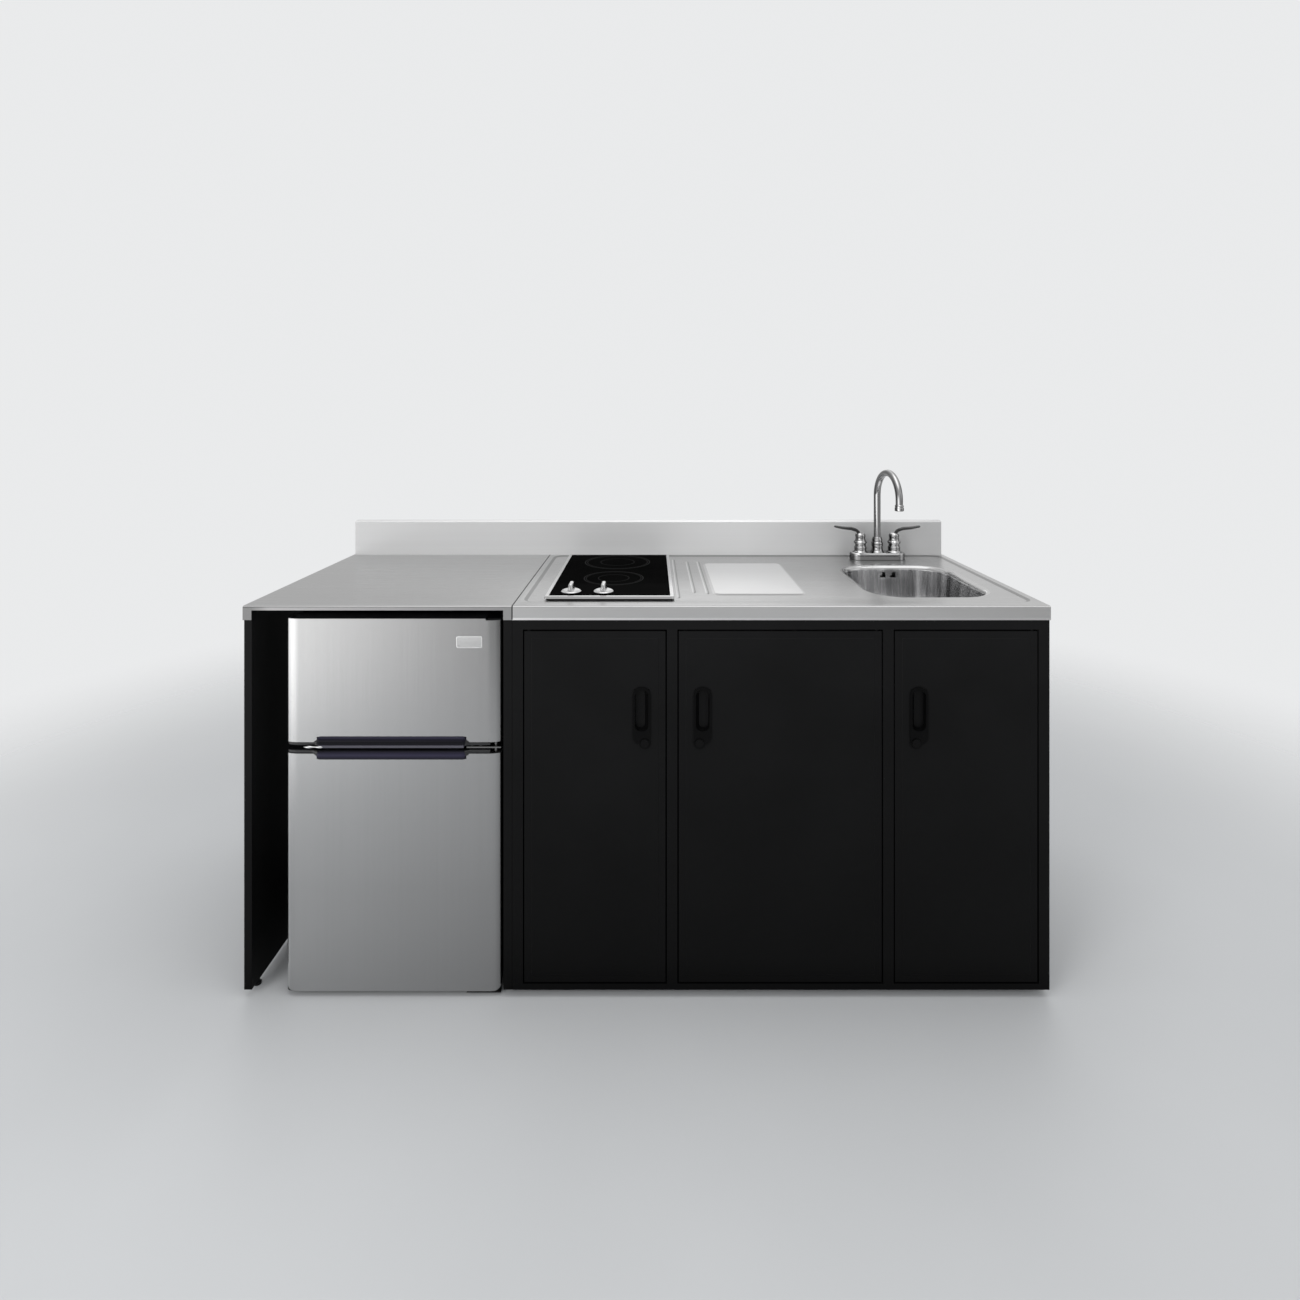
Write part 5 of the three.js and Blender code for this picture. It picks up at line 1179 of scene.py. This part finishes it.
def pull_mesh(door):
    """Flush pull: an oval plate with a finger cup and a round place for the catch button."""
    low, high = box_mm(door + "_pull")
    button_low, button_high = box_mm(door + "_catch_button")
    button_x, button_z = (button_low.x + button_high.x) / 2, (button_low.z + button_high.z) / 2
    middle = (low.x + high.x) / 2
    seat = CARCASE_FRONT - SEAT
    face = low.y
    foot = high.z - PLATE_HEIGHT
    plate = padded_plate(low.x, high.x, foot, high.z, PLATE_CORNER, seat, face, PLATE_ROLL, 12)
    boss = round_slab(button_x, button_z, BOSS_RADIUS, seat, face, PLATE_ROLL)
    cup_top = high.z - CUP_TOP_MARGIN
    cup_foot = cup_top - CUP_HEIGHT
    x0, x1 = middle - CUP_WIDTH / 2, middle + CUP_WIDTH / 2
    deep = CARCASE_FRONT + CUP_DEPTH
    pocket = block_mesh(
        (x0 - CUP_WALL, seat - 0.2, cup_foot - CUP_WALL),
        (x1 + CUP_WALL, deep + CUP_WALL, cup_top + CUP_WALL))
    case = round_slab(button_x, button_z, BOSS_CASE, CARCASE_FRONT + BOSS_DEPTH, seat - 0.2)
    # The cup slopes up on the button's side.
    floor_x0, floor_x1 = (x0 + 1.5, x1 - CUP_SLOPE) if button_x > middle else (x0 + CUP_SLOPE, x1 - 1.5)
    cup = mesh_of([
        front_rect(x0, x1, cup_foot, cup_top, CUP_CORNER, face - 1, 10),
        front_rect(x0 + 0.4, x1 - 0.4, cup_foot + 0.4, cup_top - 0.4, CUP_CORNER - 0.4, face + 2.5, 10),
        front_rect(floor_x0, floor_x1, cup_foot + 4, cup_top - 3, 9, deep, 10),
    ])
    travel = JOINTS[door[5:] + "_button_push"]["range_m"][1] / MM
    bore = round_slab(button_x, button_z, BUTTON_BORE, button_high.y + travel + BUTTON_ROOM, face - 1)
    return carved(plate, [boss, pocket, case], [cup, bore])


for side in ("left", "centre", "right"):
    door = "door_" + side
    pull = piece(door + "_flush_pull", pull_mesh(door), bezel_black, side + "_door", door + "_pull")
    # The pull is painted darker than the door, as shade on its plate, rim and cup walls; the cup's floor
    # takes the door's own tone.
    paint_where(pull, cup_black, lambda centre, normal: abs(centre.y / MM - CARCASE_FRONT - CUP_DEPTH) < 0.5)

# ---------------- badge place
BADGE_LEFT, BADGE_RIGHT = -432.0, -372.3
BADGE_FOOT, BADGE_TOP = 790.6, 818.0
BADGE_RIM = 2.4
BADGE_PROUD = 1.6
FIELD_PROUD = 0.8
freezer_face = box_mm("freezer_door")[0].y


def badge_mesh():
    """A bare plate with a raised rim round a sunk field."""
    plate = padded_plate(
        BADGE_LEFT, BADGE_RIGHT, BADGE_FOOT, BADGE_TOP, 4.5, freezer_face + 0.2,
        freezer_face - BADGE_PROUD, 0.8)
    field = padded_plate(
        BADGE_LEFT + BADGE_RIM, BADGE_RIGHT - BADGE_RIM, BADGE_FOOT + BADGE_RIM,
        BADGE_TOP - BADGE_RIM, 2.6, freezer_face - 3, freezer_face - FIELD_PROUD, 0.01)
    return carved(plate, [], [field])


badge = piece("bare_badge_plate", badge_mesh(), plate_silver, "freezer")
paint_where(
    badge, plate_field, lambda centre, normal:
    abs(centre.y / MM - freezer_face + FIELD_PROUD) < 0.1 and normal.y < -0.9)

# ---------------- floor, light, camera
ROOM = (0.82, 0.828, 0.835, 1)
FLOOR_SOLID, FLOOR_GONE = 1.5, 3.4


def floor_material():
    """Pale paint near the unit that fades out further off, where the room shows instead."""
    mat, tree, bsdf = new_material("floor_paint")
    slow = noise(tree, (1.2, 1.2, 1.2), 3.0, 0.5)
    dress(
        tree, bsdf, Base_Color=tinted(tree, slow, (0.55, 0.56, 0.57), (0.58, 0.59, 0.60)),
        Roughness=spread(tree, slow, 0.36, 0.44))
    reach = add(tree, "ShaderNodeVectorMath", operation="LENGTH")
    feed(tree, reach.inputs[0], add(tree, "ShaderNodeTexCoord").outputs["Object"])
    fade = mapped(
        tree, reach.outputs["Value"], FLOOR_SOLID, FLOOR_GONE, interpolation_type="SMOOTHSTEP")
    clear = add(tree, "ShaderNodeBsdfTransparent")
    tree.links.new(
        mixed_shader(tree, fade, bsdf.outputs[0], clear.outputs[0]),
        tree.nodes["Material Output"].inputs["Surface"])
    return mat


floor_mesh = bpy.data.meshes.new("floor")
bm = bmesh.new()
bmesh.ops.create_grid(bm, x_segments=12, y_segments=12, size=15)
bm.to_mesh(floor_mesh)
bm.free()
floor = bpy.data.objects.new("floor", floor_mesh)
bpy.context.scene.collection.objects.link(floor)
floor.location.z = -0.0005
floor_mesh.materials.append(floor_material())

world = bpy.data.worlds.new("studio")
bpy.context.scene.world = world
world.use_nodes = True
sky = world.node_tree
sky.nodes.clear()
heading = add(sky, "ShaderNodeTexCoord").outputs["Generated"]


def facing(direction, low, high, weak, strong):
    """A number that goes from weak to strong as a ray turns towards a direction."""
    toward = add(sky, "ShaderNodeVectorMath", operation="DOT_PRODUCT")
    feed(sky, toward.inputs[0], heading)
    feed(sky, toward.inputs[1], Vector(direction).normalized())
    return mapped(sky, toward.outputs["Value"], low, high, weak, strong, interpolation_type="SMOOTHSTEP")


def background(colour, strength=1.0):
    shader = add(sky, "ShaderNodeBackground")
    dress(sky, shader, Color=colour, Strength=strength)
    return shader.outputs[0]


# Gloss sees a pale room behind the unit and a dimmer one in front. Soft panels add to it, and
# dark flags take a share of it away.
PANELS = (
    ((-0.82, -0.50, -0.25), 0.86, 0.97, 0.75),
    ((-0.62, -0.75, -0.22), 0.86, 0.99, 0.95),
    ((0.80, -0.60, 0.25), 0.92, 1.0, 0.4),
    ((0.03, 0.97, 0.22), 0.965, 1.0, 0.42),
    ((0.05, -0.25, 1.0), 0.72, 0.97, 0.9),
)
FLAGS = (
    ((0.95, 0.30, 0.0), 0.90, 0.96, 0.3),
    ((-0.95, 0.30, 0.0), 0.90, 0.96, 0.3),
    ((0.62, -0.78, -0.10), 0.86, 0.97, 0.62),
    ((-0.45, 0.87, 0.20), 0.92, 0.99, 0.76),
)
mirrored = facing((0.25, 1, 0.1), -0.9, 0.9, 0.45, 0.76)
for direction, low, high, strength in PANELS:
    mirrored = maths(sky, "ADD", mirrored, facing(direction, low, high, 0, strength))
for direction, low, high, share in FLAGS:
    mirrored = maths(sky, "MULTIPLY", mirrored, facing(direction, low, high, 1, share))
rays = add(sky, "ShaderNodeLightPath").outputs
shown = maths(sky, "MAXIMUM", rays["Is Transmission Ray"], rays["Is Camera Ray"])
plain = mixed_shader(sky, shown, background((0.97, 0.985, 1.0, 1), 0.55), background(ROOM))
whole = mixed_shader(sky, rays["Is Glossy Ray"], plain, background(mirrored))
sky.links.new(whole, add(sky, "ShaderNodeOutputWorld").inputs["Surface"])


def lamp(name, place, target, size_x, size_y, power):
    """A soft rectangle of light that gloss doesn't show."""
    data = bpy.data.lights.new(name, "AREA")
    data.shape = "RECTANGLE"
    data.size = size_x
    data.size_y = size_y
    data.energy = power
    obj = bpy.data.objects.new(name, data)
    bpy.context.scene.collection.objects.link(obj)
    obj.location = place
    obj.rotation_euler = (Vector(target) - Vector(place)).to_track_quat("-Z", "Y").to_euler()
    obj.visible_glossy = False


lamp("key", (-2.3, -2.9, 1.9), (-0.2, 0, 0.6), 1.6, 2.2, 56)
lamp("over", (0.2, -0.2, 3.6), (0.1, 0, 0.9), 3.0, 2.2, 58)
lamp("fill", (2.8, -2.6, 1.8), (0.3, 0, 0.5), 1.8, 1.8, 16)

# The photograph's frame is 1300 pixels wide and the lens and the shift are measured in its pixels.
FRAME_PIXELS = 1300
LENS_PIXELS = 702.9
SHIFT_PIXELS = (-2.5, -233)
SENSOR = 36
FRONT_PLANE = -0.30305
EYE_DISTANCE = 1.590
camera_data = bpy.data.cameras.new("camera")
camera = bpy.data.objects.new("camera", camera_data)
bpy.context.scene.collection.objects.link(camera)
camera.location = (0.013, FRONT_PLANE - EYE_DISTANCE, 1.3145)
camera.rotation_euler = (math.pi / 2, 0, 0)
camera_data.sensor_fit = "HORIZONTAL"
camera_data.sensor_width = SENSOR
camera_data.lens = SENSOR * LENS_PIXELS / FRAME_PIXELS
camera_data.shift_x, camera_data.shift_y = (pixels / FRAME_PIXELS for pixels in SHIFT_PIXELS)
camera_data.clip_start = 0.05
bpy.context.scene.camera = camera
bpy.context.scene.view_settings.view_transform = "Standard"
